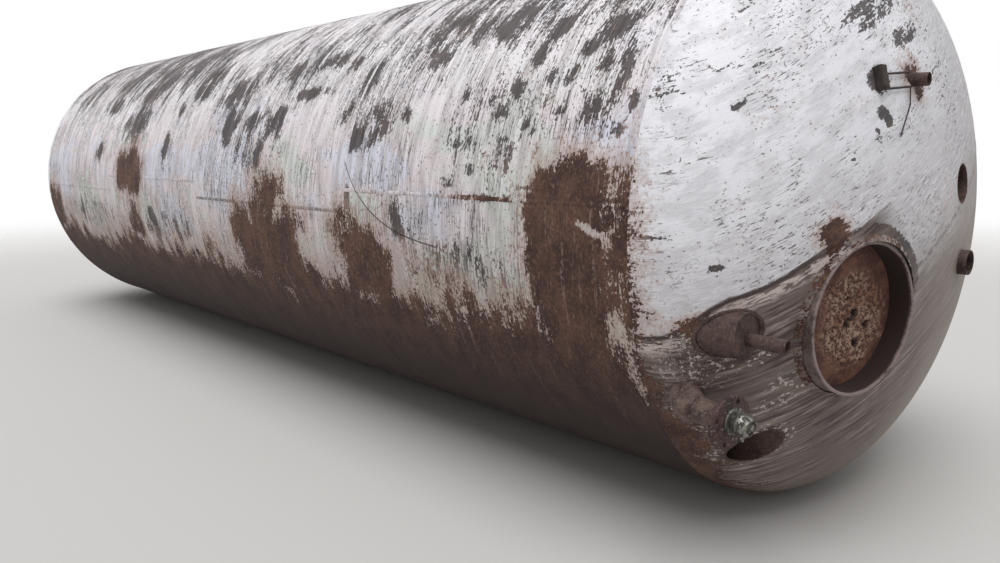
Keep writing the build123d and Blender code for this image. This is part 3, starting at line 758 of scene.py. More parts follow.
def head_cutter(extra):
    """All the round holes of the near head in one form, each a little larger than its pipe.

    The manhole's hole is larger by an extra, for cutting the bead short of its collar.
    """
    bm = bmesh.new()
    round_cutter(bm, MANHOLE_LIP, MANHOLE_WAY, MANHOLE_RADIUS + CLEARANCE + extra, -0.3, 0.3)
    for spot, radius in ((INLET_UV, SOCKET_RADIUS), (CUT_SOCKET_UV, SOCKET_RADIUS),
                         (SIDE_SOCKET_UV, SOCKET_RADIUS), (SIDE_STUB_UV, STUB_RADIUS),
                         (VENT_UV, PIPE_RADIUS)):
        round_cutter(bm, onto_head(head_place(*spot)), ALONG_TANK, radius + CLEARANCE, -0.4, 0.3)
    round_cutter(bm, DRAIN_SPOT, DRAIN_OUT, ELBOW_RADIUS + CLEARANCE, -0.1, 0.03)
    return bm


# %% [markdown]
# ## How worn the heads are
# A head's skirt wears as the shell beside it, and the wear fades up the dish. Small rust
# patches, stains and crumbs of pale paint are placed in u and v. A stain is an oval with a
# top: 2 is flaked through, and below 0 only the shader's noise breaks it into flecks. The
# torch left torn crumbs round the cut socket, and the paint above the manhole has flaked.

# %% The three fields on the heads
HEAD_RUST = {
    "beside the vent": (-0.045, -0.590, 0.030, 0.060, 0.035),
    "above the manhole": (0.630, -0.350, 0.050, 0.060, 0.035),
    "behind the inlet": (1.075, -0.215, 0.050, 0.060, 0.03),
}
HEAD_STAINS = [
    (0.225, -0.597, 0.034, 0.026, 2.0), (0.214, -0.553, 0.026, 0.024, 2.0),
    (0.290, -0.530, 0.020, 0.040, 0.1), (0.158, -0.683, 0.060, 0.055, 1.0),
    (-0.12, -0.725, 0.110, 0.040, 0.0), (-0.045, -0.837, 0.140, 0.026, 0.2),
    (0.039, -0.892, 0.120, 0.026, 0.2), (0.444, -0.534, 0.030, 0.007, 2.0),
    (0.668, -0.851, 0.024, 0.008, 2.0), (0.986, -0.440, 0.032, 0.010, 2.0),
    (1.045, -0.569, 0.045, 0.010, 1.0), (0.588, -1.019, 0.260, 0.120, -0.7),
    (-0.26, -0.62, 0.060, 0.260, -0.6),
]
PALE_CRUMBS = [
    (1.123, -0.149, 0.060, 0.090), (0.988, -0.086, 0.070, 0.030), (1.142, 0.300, 0.050, 0.060),
    (1.006, 0.127, 0.110, 0.022), (0.970, 0.329, 0.040, 0.030), (0.900, 0.050, 0.080, 0.020),
    (1.155, 0.150, 0.045, 0.100),
]


def head_wear(point):
    """The fields bare, flaked and crumbs at a place on a head's outer face."""
    level = point - AXIS_MIDDLE
    u, v = level.dot(ALONG_SEAM), level.dot(ACROSS_SEAM)
    past_skirt = max(abs(point.x) - HALF_LENGTH, 0)
    at_rim = Vector((math.copysign(HALF_LENGTH, point.x), point.y, point.z))
    shell_bare, shell_flaked, crumbs = shell_wear(at_rim)
    bare = shell_bare - past_skirt / 0.075
    flaked = -2.0 + 1.0 * smooth_step(0.20 - past_skirt, 0, 0.20) * (shell_flaked + 2)
    if point.x > 0:
        spot = Vector((u, v, 3))
        u_here = u + 0.03 * noise.noise(spot * 12)
        v_here = v + 0.03 * noise.noise(spot * 12 + Vector((0, 0, 5)))
        bare = max([bare] + [patch_depth(u_here, v_here, patch) for patch in HEAD_RUST.values()])
        for *oval, top in HEAD_STAINS:
            flaked = max(flaked, min(top, 3 * (1 - from_oval(u, v, oval))))
        for oval in PALE_CRUMBS:
            crumbs = max(crumbs, 1.5 * smooth_step(from_oval(u_here, v_here, oval), 1.6, 0.5))
        torn_edge = math.hypot(u - CUT_SOCKET_UV[0], v - CUT_SOCKET_UV[1])
        torn = smooth_step(torn_edge, 0.108, 0.084) * smooth_step(v - u * 0.35, 0.12, -0.06)
        crumbs = max(crumbs, 2.3 * torn)
        ring = math.hypot(u - MANHOLE_UV[0], v - MANHOLE_UV[1])
        above = smooth_step(math.cos(math.atan2(v, MANHOLE_UV[0] - u) + 0.9), -0.1, 0.6)
        flaked = max(flaked, -3 + 4.4 * above * smooth_step(ring, 0.365, 0.315))
    return min(max(bare, -2), 2), min(max(flaked, -3), 2), crumbs


def inside_dish(point):
    """True on the inner face of a head."""
    start = Vector((abs(point.x), point.y, point.z)) - DISH_MIDDLE
    buried_by = HEAD_WALL * INNER_SHARE
    if start.x < 0:
        return math.hypot(start.y, start.z) < TANK_RADIUS - buried_by
    return sum((start[i] / (DISH_SIZES[i] - buried_by)) ** 2 for i in range(3)) < 1


# %% Make the four head plates
for end, where in ((1, "near"), (-1, "far")):
    for side, turn in (("upper", math.pi), ("lower", -math.pi)):
        dish = half_dish(turn, end)
        give_wall(dish, HEAD_WALL)
        if end == 1:
            dish = cut_with(dish, head_cutter(0))
        wear_skin(dish, head_wear, inside_dish)
        node = f"{where}_head_{side}_plate"
        make_piece(node + "_skin", dish, HEAD_PAINT, "head_paint", node)

# %% [markdown]
# ## Weld beads
# The plates were joined by hand-run beads about 20 mm wide and 3 mm high. A bead's
# section is a low arch. It is spun round the tank for the girth welds, drawn straight along
# a course for the lengthwise ones, and spun to the ellipse of the dish for the heads. Noise
# makes it as uneven as a hand run. Its ripples, one for each dip of the rod, are relief in
# the finish: real ones are 2 to 3 mm apart and these are 9 mm, so that they show.

# %% The beads' finish
RIPPLE = 0.009


def weld_ripples(tree, place):
    """The dips of a hand-run weld, across a bead that runs round the tank or along it."""
    dips = [add(tree, "ShaderNodeTexWave", {"Vector": place, "Scale": 2 * math.pi / (20 * RIPPLE),
                                            "Distortion": 1.5, "Detail": 1.0, "Detail Scale": 2.0},
                out="Fac", bands_direction=direction) for direction in "XY"]
    return add(tree, "ShaderNodeMath", {0: dips[0], 1: dips[1]}, operation="ADD")


# The second course's seam beads are darkened hard, partly as dirt and partly as painted shade for the
# bead's shadow line; the girth beads are dimmed a little.
SEAM_PAINT = brushed_shell_paint("dirty_and_shaded_white_oil_paint_on_seam_weld", (0.008, 0.05), 0.85, weld_ripples)
GIRTH_PAINT = brushed_shell_paint("bright_white_oil_paint_on_girth_weld", (0.008, 0.05), 0.12, weld_ripples)
HEAD_BEAD_PAINT = brushed_head_paint("worn_white_oil_paint_on_head_weld_bead", (0.008, 0.04), weld_ripples)

# %% A bead's section
GIRTH_HALF_WIDTH = 0.010
GIRTH_HEIGHT = 0.003
SEAM_HALF_WIDTH = 0.009
SEAM_HEIGHT = 0.0025
BEAD_FOOT = 0.0001
GIRTH_STOP = GIRTH_HALF_WIDTH + CLEARANCE
COLLAR_STOP = SEAM_HALF_WIDTH + CLEARANCE


def bead_section(bm, half_width, height):
    """A low arch across Y with its foot at Z = 0, as a closed loop of edges."""
    left = bm.verts.new((0, -half_width, 0))
    right = bm.verts.new((0, half_width, 0))
    bm.edges.new((left, right))
    top = bm.verts.new((0, -half_width, BEAD_FOOT))
    tail = bm.verts.new((0, half_width, BEAD_FOOT))
    crown = bm.edges.new((top, tail))
    bm.edges.new((left, top))
    bm.edges.new((right, tail))
    bmesh.ops.subdivide_edges(bm, edges=[crown], cuts=5)
    for vert in bm.verts:
        if vert.co.z > 0:
            vert.co.z = max(height * math.cos(math.pi / 2 * vert.co.y / half_width), BEAD_FOOT)


def hand_run(along, seed):
    """The share of a bead's height that the hand left here, never above 1."""
    return 0.72 + 0.28 * noise.noise(Vector((along * 38, seed, 0)))


# %% Beads round the tank
def girth_bead(station, seed):
    """A bead round the tank, flat where the tank lies on it."""
    bm = bmesh.new()
    bead_section(bm, GIRTH_HALF_WIDTH, GIRTH_HEIGHT)
    bmesh.ops.rotate(bm, verts=bm.verts, cent=(0, 0, 0), matrix=Matrix.Rotation(math.pi / 2, 3, "Z"))
    bmesh.ops.translate(bm, verts=bm.verts, vec=(station, 0, AXIS_HEIGHT + TANK_RADIUS))
    bmesh.ops.spin(bm, geom=bm.verts[:] + bm.edges[:], cent=AXIS_MIDDLE, axis=ALONG_TANK,
                   angle=2 * math.pi, steps=480, use_merge=True)
    for vert in bm.verts:
        out = Vector((0, vert.co.y, vert.co.z - AXIS_HEIGHT))
        proud = out.length - TANK_RADIUS
        vert.co -= out.normalized() * proud * (1 - hand_run(plate_climb(vert.co), seed))
        vert.co.z = max(vert.co.z, 0)
    close_skin(bm)
    return bm


# %% Beads along the courses
def verts_in(geom):
    """The vertices in what an operator returns."""
    return [part for part in geom if isinstance(part, bmesh.types.BMVert)]


def edges_in(geom):
    """The edges in what an operator returns."""
    return [part for part in geom if isinstance(part, bmesh.types.BMEdge)]


def seam_bead(bm, start, end, angle, seed):
    """Adds a straight bead along a course, at an angle above the near side."""
    bead = bmesh.new()
    bead_section(bead, SEAM_HALF_WIDTH, SEAM_HEIGHT)
    section = bead.verts[:] + bead.edges[:]
    steps = 110
    for _ in range(steps):
        section = bmesh.ops.extrude_edge_only(bead, edges=edges_in(section))["geom"]
        bmesh.ops.translate(bead, verts=verts_in(section), vec=((end - start) / steps, 0, 0))
    bmesh.ops.holes_fill(bead, edges=[e for e in bead.edges if e.is_boundary], sides=0)
    for vert in bead.verts:
        vert.co.z *= hand_run(vert.co.x, seed)
        vert.co.z -= ease_in(vert.co.x + start, math.degrees(angle), start - GIRTH_STOP, end + GIRTH_STOP)
    round_tank = Matrix.Rotation(math.pi / 2 - angle, 4, "X")
    placing = Matrix.Translation(AXIS_MIDDLE) @ round_tank @ Matrix.Translation((start, 0, TANK_RADIUS))
    bmesh.ops.transform(bead, matrix=placing, verts=bead.verts)
    close_skin(bead)
    loose = bpy.data.meshes.new("bead")
    bead.to_mesh(loose)
    bead.free()
    bm.from_mesh(loose)
    bpy.data.meshes.remove(loose)


# %% Beads across the heads
def dish_bead(end, seed):
    """The bead across a dished end, along its seam."""
    bm = bmesh.new()
    bead_section(bm, SEAM_HALF_WIDTH, SEAM_HEIGHT)
    bmesh.ops.rotate(bm, verts=bm.verts, cent=(0, 0, 0), matrix=Matrix.Rotation(-math.pi / 2, 3, "X"))
    bmesh.ops.translate(bm, verts=bm.verts, vec=(0, TANK_RADIUS, 0))
    bmesh.ops.spin(bm, geom=bm.verts[:] + bm.edges[:], cent=(0, 0, 0), axis=(0, 0, -1),
                   angle=math.pi, steps=300)
    bmesh.ops.holes_fill(bm, edges=[e for e in bm.edges if e.is_boundary], sides=0)
    for vert in bm.verts:
        away = math.hypot(vert.co.x, vert.co.y)
        proud = away - TANK_RADIUS
        turn = math.atan2(vert.co.x, vert.co.y)
        share = (TANK_RADIUS + proud * hand_run(turn, seed)) / away
        vert.co.x *= share
        vert.co.y *= share
    bmesh.ops.scale(bm, verts=bm.verts, vec=(HEAD_DEPTH / TANK_RADIUS, 1, 1))
    turned = Matrix.Rotation(SEAM_ROLL, 4, "X")
    bmesh.ops.transform(bm, matrix=Matrix.Translation(DISH_MIDDLE) @ turned, verts=bm.verts)
    bmesh.ops.scale(bm, verts=bm.verts, vec=(end, 1, 1))
    close_skin(bm)
    return bm


# %% Make the beads
BROWN_RUN = 2.74
BROWN_RUN_SOFT = 0.12


def bead_wear(point):
    """A bead flakes less than the plate beside it and rusts the same, with one brown run."""
    bare, flaked, crumbs = shell_wear(point)
    if point.y < 0:
        off_run = abs(point.x - BROWN_RUN) / BROWN_RUN_SOFT
        bare = max(bare, 1.1 - off_run + noise.noise(point * 25))
    return bare, flaked - 2.2, crumbs


for index in range(5):
    station = HALF_LENGTH - sum(COURSE_WIDTHS[:index])
    bead = girth_bead(station, index)
    wear_skin(bead, bead_wear)
    make_piece(f"girth_weld_{index + 1}_bead", bead, GIRTH_PAINT, "weld_bead", f"girth_weld_{index + 1}")
for index, (start, end) in enumerate(course_edges):
    beads = bmesh.new()
    for opposite in (0, math.pi):
        angle = math.radians(SEAM_ANGLES[index]) + opposite
        seam_bead(beads, start + GIRTH_STOP, end - GIRTH_STOP, angle, 20 + index + opposite)
    wear_skin(beads, bead_wear)
    make_piece(f"course_{index + 1}_seam_beads", beads, SEAM_PAINT if index == 1 else GIRTH_PAINT,
               "weld_bead", f"course_{index + 1}_seam_welds")
for end, where in ((1, "near"), (-1, "far")):
    bead = dish_bead(end, 31)
    if end == 1:
        bead = cut_with(bead, head_cutter(COLLAR_STOP))
    wear_skin(bead, head_wear)
    make_piece(f"{where}_head_seam_bead", bead, HEAD_BEAD_PAINT, "weld_bead", f"{where}_head_seam_weld")

# %% [markdown]
# ## Rusted steel for the pipes and fittings
# The necks, pipes and flange are bare hot-rolled steel that has rusted evenly. To the eye
# that is a dull brown with darker hollows, dusty highlights where the scale is loose, and a
# fine pitted relief. One finish serves them all, with the tone and the share of pale,
# flaking old paint given for each.

# %% Rusted steel finishes
def rusted_steel(name, dark, brown, dusty, chips, grain=0.02):
    """Evenly rusted steel. chips is the share of old paint that still clings to it."""
    made, tree, surface = finish_named(name)
    where = add(tree, "ShaderNodeTexCoord", out="Object")
    clouds = drawn_noise(tree, where, (grain * 3, grain * 3, grain * 3), 4, 0.6, 2.7)
    pits = drawn_noise(tree, where, (grain * 0.4, grain * 0.4, grain * 0.4), 3, 0.7, 6.6)
    colour = blend_colour(tree, rises(tree, clouds, 0.32, 0.6), dark, brown)
    colour = blend_colour(tree, rises(tree, pits, 0.52, 0.72, 0.7), colour, dusty)
    colour = blend_colour(tree, rises(tree, pits, 0.42, 0.3, 0.8), colour, dark)
    flakes = drawn_noise(tree, where, (grain, grain, grain), 5, 0.7, 9.9)
    cling = rises(tree, flakes, 0.72 - 0.4 * chips, 0.74 - 0.4 * chips)
    colour = blend_colour(tree, cling, colour, "a89c96")
    relief = sums(tree, sums(tree, pits, clouds, 0.6), cling, 0.5)
    rough = add(tree, "ShaderNodeMath", {0: 0.88, 1: times(tree, pits, 0.12)}, operation="SUBTRACT")
    set_surface(tree, surface, colour, rough, relief, 0.0016)
    return made


PIPE_STEEL = rusted_steel("evenly_rusted_hot_rolled_pipe", "281b18", "4f3d38", "76625c", 0.02)
SOCKET_STEEL = rusted_steel("rusted_socket_with_thin_grey_paint", "2f211e", "56423b", "7f6c63", 0.06)
DRAIN_STEEL = rusted_steel("matt_rusted_drain_pipe", "3a2b27", "69564f", "93827a", 0.08)
DARK_STEEL = rusted_steel("blackened_mild_steel_bar", "1d1816", "3b312d", "5a4b45", 0.05)


# %% [markdown]
# ## Pipe walls
# A pipe is the easiest thing to spin: the four corners of its wall, spun all the way round
# an axis, with the rim edges taken off by a small bevel. Rust has eaten the surface, so the
# vertices are moved in along their normals by a little noise.

# %% Helpers for pipes
def spin_round(bm, steps):
    """Spins a section all the way round the Z axis."""
    bmesh.ops.spin(bm, geom=bm.verts[:] + bm.edges[:], cent=(0, 0, 0), axis=(0, 0, 1),
                   angle=2 * math.pi, steps=steps, use_merge=True)
    close_skin(bm)


def sharp_edges(bm, angle=60):
    """The edges where two faces meet at more than an angle."""
    return [e for e in bm.edges if e.calc_face_angle(0) > math.radians(angle)]


def break_edges(bm, edges, size, segments=2):
    """Takes the sharpness off edges with a small bevel."""
    bmesh.ops.bevel(bm, geom=edges, offset=size, affect="EDGES", segments=segments, profile=0.5,
                    material=-1)


def pipe_wall(radius, wall, low, high, rings=6, steps=72, edge=0.0012):
    """A pipe on the Z axis, from the section of its wall."""
    bm = bmesh.new()
    corners = [bm.verts.new(p) for p in ((radius, 0, low), (radius, 0, high),
                                         (radius - wall, 0, high), (radius - wall, 0, low))]
    sides = [bm.edges.new((corners[i], corners[(i + 1) % 4])) for i in range(4)]
    bmesh.ops.subdivide_edges(bm, edges=[sides[0], sides[2]], cuts=rings)
    spin_round(bm, steps)
    break_edges(bm, sharp_edges(bm), edge)
    return bm


def eat_away(bm, depth, grain, seed):
    """Moves the vertices inwards by noise, as rust does."""
    bm.normal_update()
    moves = [(v, v.normal * depth * (0.5 + 0.5 * noise.noise(v.co / grain + Vector((seed, 0, 0)))))
             for v in bm.verts]
    for vert, move in moves:
        vert.co -= move


def set_in_place(bm, origin, way):
    """Moves a form made on the Z axis to its place on the tank."""
    bmesh.ops.transform(bm, matrix=stand_at(origin, way), verts=bm.verts)
    return bm


# %% Manhole neck
def neck_finish():
    """Rusted neck: pale and polished on its lip, brown outside, painted shade nearly black down inside."""
    made, tree, surface = finish_named("rusted_neck_with_rubbed_lip")
    where = add(tree, "ShaderNodeTexCoord", out="Object")
    lip = add(tree, "ShaderNodeAttribute", out="Fac", attribute_name="lip")
    inner_wall_shade = add(tree, "ShaderNodeAttribute", out="Fac", attribute_name="inner_wall_shade")
    clouds = drawn_noise(tree, where, (0.07, 0.07, 0.07), 5, 0.65, 2.7)
    pits = drawn_noise(tree, where, (0.008, 0.008, 0.008), 3, 0.7, 6.6)
    outside = blend_colour(tree, rises(tree, clouds, 0.38, 0.60), "4a3c38", "73655f")
    outside = blend_colour(tree, rises(tree, pits, 0.54, 0.66, 0.4), outside, "978a83")
    # Painted shade: the inner wall below the lip is darkened over its rust to nearly black.
    colour = blend_colour(tree, inner_wall_shade, outside, "2a1b18")
    rubbed = broken_up(tree, lip, (pits, 1.5), (clouds, 2.0))
    colour = blend_colour(tree, rises(tree, rubbed, 0.55, 1.0, 0.75), colour, "8f7f7d")
    rough = add(tree, "ShaderNodeMath", {0: 0.9, 1: times(tree, lip, 0.2)}, operation="SUBTRACT")
    set_surface(tree, surface, colour, rough, sums(tree, pits, clouds, 0.6), 0.0016)
    return made


MANHOLE_WALL = 0.012
NECK_FINISH = neck_finish()
neck = pipe_wall(MANHOLE_RADIUS, MANHOLE_WALL, -0.2, 0, rings=14, steps=160, edge=0.002)
lip_layer = neck.verts.layers.float.new("lip")
inner_wall_shade_layer = neck.verts.layers.float.new("inner_wall_shade")
for vert in neck.verts:
    vert[lip_layer] = smooth_step(vert.co.z, -0.006, -0.001)
    inner = math.hypot(vert.co.x, vert.co.y) < MANHOLE_RADIUS - MANHOLE_WALL * 0.7
    # The inner wall's painted shade grows from the lip to full 10 mm down.
    vert[inner_wall_shade_layer] = smooth_step(vert.co.z, -0.001, -0.010) if inner else 0.0
eat_away(neck, 0.0008, 0.03, 4)
set_in_place(neck, MANHOLE_LIP, MANHOLE_WAY)
make_piece("manhole_neck_wall", neck, NECK_FINISH, "weathered_neck", "manhole_neck")


# %% [markdown]
# ## Weld collars
# A collar of weld joins a pipe to the head. It is a flat ring spun round the pipe, slid
# along the pipe's way onto the dish and raised towards the pipe. The manhole's is a wide
# fillet under the head's paint, 24 mm wide and 20 mm high, and the inlet's is 8.5 by 5.5 mm.

# %% Lay the collars on the dish
def weld_collar(origin, way, radius, width, height, seed, steps=160, fall=0.5):
    """A lumpy bead that lies on the head round a pipe: a ring laid along the pipe's way."""
    bm = bmesh.new()
    inner = bm.verts.new((radius, 0, 0))
    outer = bm.verts.new((radius + width, 0, 0))
    crown = bm.edges.new((inner, outer))
    bmesh.ops.subdivide_edges(bm, edges=[crown], cuts=5)
    spin_round(bm, steps)
    placing = stand_at(origin, way)
    for vert in bm.verts:
        share = (math.hypot(vert.co.x, vert.co.y) - radius) / width
        turn = math.atan2(vert.co.y, vert.co.x)
        lumps = 0.75 + 0.25 * noise.noise(Vector((math.cos(turn), math.sin(turn), seed)) * radius * 60)
        on_dish = onto_head(placing @ vert.co, way.normalized())
        vert.co = on_dish + off_head(on_dish) * height * lumps * max(1 - share, 0) ** fall
    return bm


collar = weld_collar(MANHOLE_LIP, MANHOLE_WAY, MANHOLE_RADIUS + CLEARANCE, 0.024, 0.020, 3,
                     steps=240, fall=1.6)
make_piece("manhole_weld_bead", collar, HEAD_PAINT, "weathered_neck", "manhole_weld")
inlet_spot = onto_head(head_place(*INLET_UV))
collar = weld_collar(inlet_spot, ALONG_TANK, SOCKET_RADIUS + 0.0005, 0.0085, 0.0055, 5)
make_piece("inlet_weld_bead", collar, PIPE_STEEL, "rusted_steel", "inlet_weld")

# %% [markdown]
# ## The sunk manhole cover
# The manhole is shut by a plate set 88 mm down its neck. Water has stood on it, so its
# middle is under a thick crust of rust scale with a few deep pits, and its edge is smoother
# and redder. The crust is real relief: rings of vertices close enough to carry it, lifted by
# noise with sharp steps.

# %% Model the crusted cover
COVER_RADIUS = MANHOLE_RADIUS - MANHOLE_WALL - 0.0003
COVER_DEPTH = 0.088
COVER_THICKNESS = 0.016
PITS = [(-0.002, -0.060, 0.022), (-0.034, -0.020, 0.024), (-0.020, -0.040, 0.016), (-0.052, -0.128, 0.020),
        (-0.118, -0.080, 0.020), (0.060, -0.010, 0.010)]


def crust_share(point):
    """How thick the crust is here, from 0 at the edge of the plate to 1 in its middle."""
    away = math.hypot(point.x + 0.02, point.y + 0.045)
    ragged = 0.05 * noise.noise(point * 14) + 0.02 * noise.noise(point * 50)
    return smooth_step(away + ragged, 0.205, 0.14)


def crust_lumps(point):
    """Lumps of scale about 15 mm across, from 0 in the hollows to 1 on top."""
    lumps = noise.noise(point * 55) + 0.8 * noise.noise(point * 130 + Vector((3, 0, 0)))
    return smooth_step(lumps, -0.25, 0.35)


def crust_lift(point):
    """Height of the rust scale: lumps that stand out of it, less its pits."""
    dusty = smooth_step(math.hypot(point.x + 0.065, (point.y + 0.055) * 1.6), 0.075, 0.045)
    lift = 0.0065 * crust_lumps(point) * crust_share(point) * (1 - 0.7 * dusty)
    lift += 0.0010 * noise.noise(point * 120)
    for x, y, size in PITS:
        away = math.hypot(point.x - x, point.y - y) + 0.006 * noise.noise(point * 80)
        lift -= 0.016 * smooth_step(away, size, size * 0.5)
    return lift


cover = bmesh.new()
hub = cover.verts.new((0, 0, 0))
rim_vert = cover.verts.new((COVER_RADIUS, 0, 0))
spoke = cover.edges.new((hub, rim_vert))
bmesh.ops.subdivide_edges(cover, edges=[spoke], cuts=64)
spin_round(cover, 260)
if cover.faces[:][0].normal.z < 0:
    bmesh.ops.reverse_faces(cover, faces=cover.faces)
crust_layer = cover.verts.layers.float.new("crust")
pit_layer = cover.verts.layers.float.new("pit")
lump_layer = cover.verts.layers.float.new("lump")
for vert in cover.verts:
    flat = vert.co.copy()
    vert.co.z = crust_lift(flat)
    vert[crust_layer] = crust_share(flat)
    vert[lump_layer] = crust_lumps(flat)
    vert[pit_layer] = max([smooth_step(math.hypot(flat.x - x, flat.y - y), size * 1.2, size * 0.5)
                           for x, y, size in PITS] + [0])
edge_loop = [e for e in cover.edges if e.is_boundary]
grown = bmesh.ops.extrude_edge_only(cover, edges=edge_loop)["geom"]
for vert in verts_in(grown):
    vert.co.z = -COVER_THICKNESS
bottom = [e for e in edges_in(grown) if e.is_boundary]
bmesh.ops.edgeloop_fill(cover, edges=bottom)
set_in_place(cover, MANHOLE_LIP - MANHOLE_WAY * COVER_DEPTH, MANHOLE_WAY)


def rust_scale_finish():
    """Thick flaking rust scale: tan lumps in the middle and smoother red-brown outside."""
    made, tree, surface = finish_named("thick_flaking_rust_scale")
    where = add(tree, "ShaderNodeTexCoord", out="Object")
    crust, pit, lump = [add(tree, "ShaderNodeAttribute", out="Fac", attribute_name=name)
                        for name in ("crust", "pit", "lump")]
    clouds = drawn_noise(tree, where, (0.08, 0.08, 0.08), 4, 0.6, 1.2)
    grains = drawn_noise(tree, where, (0.007, 0.007, 0.007), 3, 0.7, 5.5)
    outer = blend_colour(tree, rises(tree, clouds, 0.40, 0.60), "4d2f2a", "75503f")
    outer = blend_colour(tree, rises(tree, grains, 0.50, 0.66, 0.4), outer, "8b6a60")
    tops = blend_colour(tree, rises(tree, clouds, 0.42, 0.58), "85604e", "a78c7a")
    scale = blend_colour(tree, rises(tree, broken_up(tree, lump, (grains, 4.5)), 0.0, 0.9), "50352c", tops)
    colour = blend_colour(tree, crust, outer, scale)
    # Painted shade: the deep pits are painted nearly black.
    colour = blend_colour(tree, pit, colour, "1a100f")
    relief = sums(tree, grains, clouds, 0.5)
    rough = add(tree, "ShaderNodeMath", {0: 0.95, 1: times(tree, grains, 0.15)}, operation="SUBTRACT")
    set_surface(tree, surface, colour, rough, relief, 0.002)
    return made


RUST_SCALE = rust_scale_finish()
make_piece("manhole_cover_crust", cover, RUST_SCALE, "rust_scale", "manhole_cover", sharp=50)

# %% [markdown]
# ## Inlet, sockets and stubs
# The inlet is a 159 mm socket closed by a plate, with a 48 mm pipe through it. Two more
# sockets of the same size were cut off flush with the dish, and two smaller stubs stand out
# of it. The flush ones are pipes whose outer rim is laid on the dish.

# %% Model the inlet, the sockets and the stubs
SOCKET_WALL = 0.006
PIPE_WALL = 0.0035
INLET_STAND = 0.053
inlet_end = inlet_spot + ALONG_TANK * INLET_STAND
socket = pipe_wall(SOCKET_RADIUS, SOCKET_WALL, -0.09, INLET_STAND, rings=10, steps=96, edge=0.0015)
eat_away(socket, 0.0010, 0.02, 1)
make_piece("inlet_socket_wall", set_in_place(socket, inlet_spot, ALONG_TANK), PIPE_STEEL,
           "rusted_steel", "inlet_socket")
pipe_spot = head_place(INLET_UV[0], INLET_UV[1] + 0.015, inlet_end.x)
plate_radius = SOCKET_RADIUS - SOCKET_WALL - CLEARANCE
closing = bmesh.new()
round_cutter(closing, inlet_end, ALONG_TANK, plate_radius, -0.010, 0)
bore_cutter = bmesh.new()
round_cutter(bore_cutter, pipe_spot, ALONG_TANK, PIPE_RADIUS - PIPE_WALL, -0.05, 0.05)
closing = cut_with(closing, bore_cutter)
make_piece("inlet_closing_plate", closing, PIPE_STEEL, "rusted_steel", "inlet_plate")
pipe = pipe_wall(PIPE_RADIUS, PIPE_WALL, 0, 0.138, rings=16, steps=56, edge=0.0008)
eat_away(pipe, 0.0007, 0.012, 2)
make_piece("inlet_pipe_wall", set_in_place(pipe, pipe_spot, ALONG_TANK), PIPE_STEEL,
           "rusted_steel", "inlet_pipe")


def flush_socket(spot, root):
    """A socket cut off flush: a pipe whose outer rim is laid on the dish."""
    bm = pipe_wall(SOCKET_RADIUS, SOCKET_WALL, -root, 0, rings=8, steps=96, edge=0.001)
    place = onto_head(head_place(*spot))
    set_in_place(bm, place, ALONG_TANK)
    for vert in bm.verts:
        share = smooth_step(vert.co.x, place.x - root, place.x)
        vert.co.x += (onto_head(Vector((0, vert.co.y, vert.co.z))).x - place.x) * share
    eat_away(bm, 0.0008, 0.015, 7)
    return bm


make_piece("cut_socket_wall", flush_socket(CUT_SOCKET_UV, 0.144), SOCKET_STEEL, "rusted_steel",
           "cut_socket")
make_piece("side_socket_wall", flush_socket(SIDE_SOCKET_UV, 0.090), SOCKET_STEEL, "rusted_steel",
           "side_socket")
stub = pipe_wall(STUB_RADIUS, 0.005, -0.04, 0.036, rings=6, steps=72)
eat_away(stub, 0.0007, 0.015, 3)
make_piece("side_stub_wall", set_in_place(stub, onto_head(head_place(*SIDE_STUB_UV)), ALONG_TANK),
           PIPE_STEEL, "rusted_steel", "side_stub")
vent = pipe_wall(PIPE_RADIUS, PIPE_WALL, -0.04, 0.058, rings=8, steps=56, edge=0.0008)
eat_away(vent, 0.0006, 0.012, 8)
make_piece("vent_stub_wall", set_in_place(vent, onto_head(head_place(*VENT_UV)), ALONG_TANK),
           PIPE_STEEL, "rusted_steel", "vent_stub")

# %% [markdown]
# ## Drain
# The drain leaves the knuckle square to the dish, turns to run along the tank with a slight
# outward lean, narrows to an 89 mm pipe and ends in a closed flange with a small valve. The
# elbow is a circle spun about a hinge. The reducer is its outlet ring drawn out and made
# smaller. Wall thickness comes last.

# %% Model the elbow, the pipe and the flange
out_of_tank = Vector((0, DRAIN_SPOT.y, DRAIN_SPOT.z - AXIS_HEIGHT)).normalized()
DRAIN_LEAN = math.radians(10)
DRAIN_WAY = ALONG_TANK * math.cos(DRAIN_LEAN) + out_of_tank * math.sin(DRAIN_LEAN)
ELBOW_BEND = 0.076
ELBOW_WALL = 0.005
elbow_share = DRAIN_WAY.dot(DRAIN_OUT)
towards_pivot = (DRAIN_WAY - DRAIN_OUT * elbow_share).normalized()
elbow_turn = math.acos(elbow_share)
DRAIN_OUTLET = (DRAIN_SPOT + towards_pivot * ((1 - math.cos(elbow_turn)) * ELBOW_BEND)
                + DRAIN_OUT * (math.sin(elbow_turn) * ELBOW_BEND))
print("drain outlet", [round(c, 4) for c in DRAIN_OUTLET], "bend", round(math.degrees(elbow_turn), 1))
REDUCER = 0.022
DRAIN_PIPE_RADIUS = 0.0445
DRAIN_PIPE_LENGTH = 0.128


def on_drain(distance, rise=0.0):
    """A point on the drain's axis past the elbow, or above it."""
    upwards = (UPRIGHT - DRAIN_WAY * DRAIN_WAY.z).normalized()
    return DRAIN_OUTLET + DRAIN_WAY * distance + upwards * rise


def grow_rim(bm, rim, move, size=None, centre=None):
    """Draws a rim of edges out by a move, and scales it about a centre."""
    geom = bmesh.ops.extrude_edge_only(bm, edges=rim)["geom"]
    verts = verts_in(geom)
    bmesh.ops.translate(bm, verts=verts, vec=move)
    if size:
        bmesh.ops.scale(bm, verts=verts, vec=(size, size, size), space=Matrix.Translation(-centre))
    return edges_in(geom)


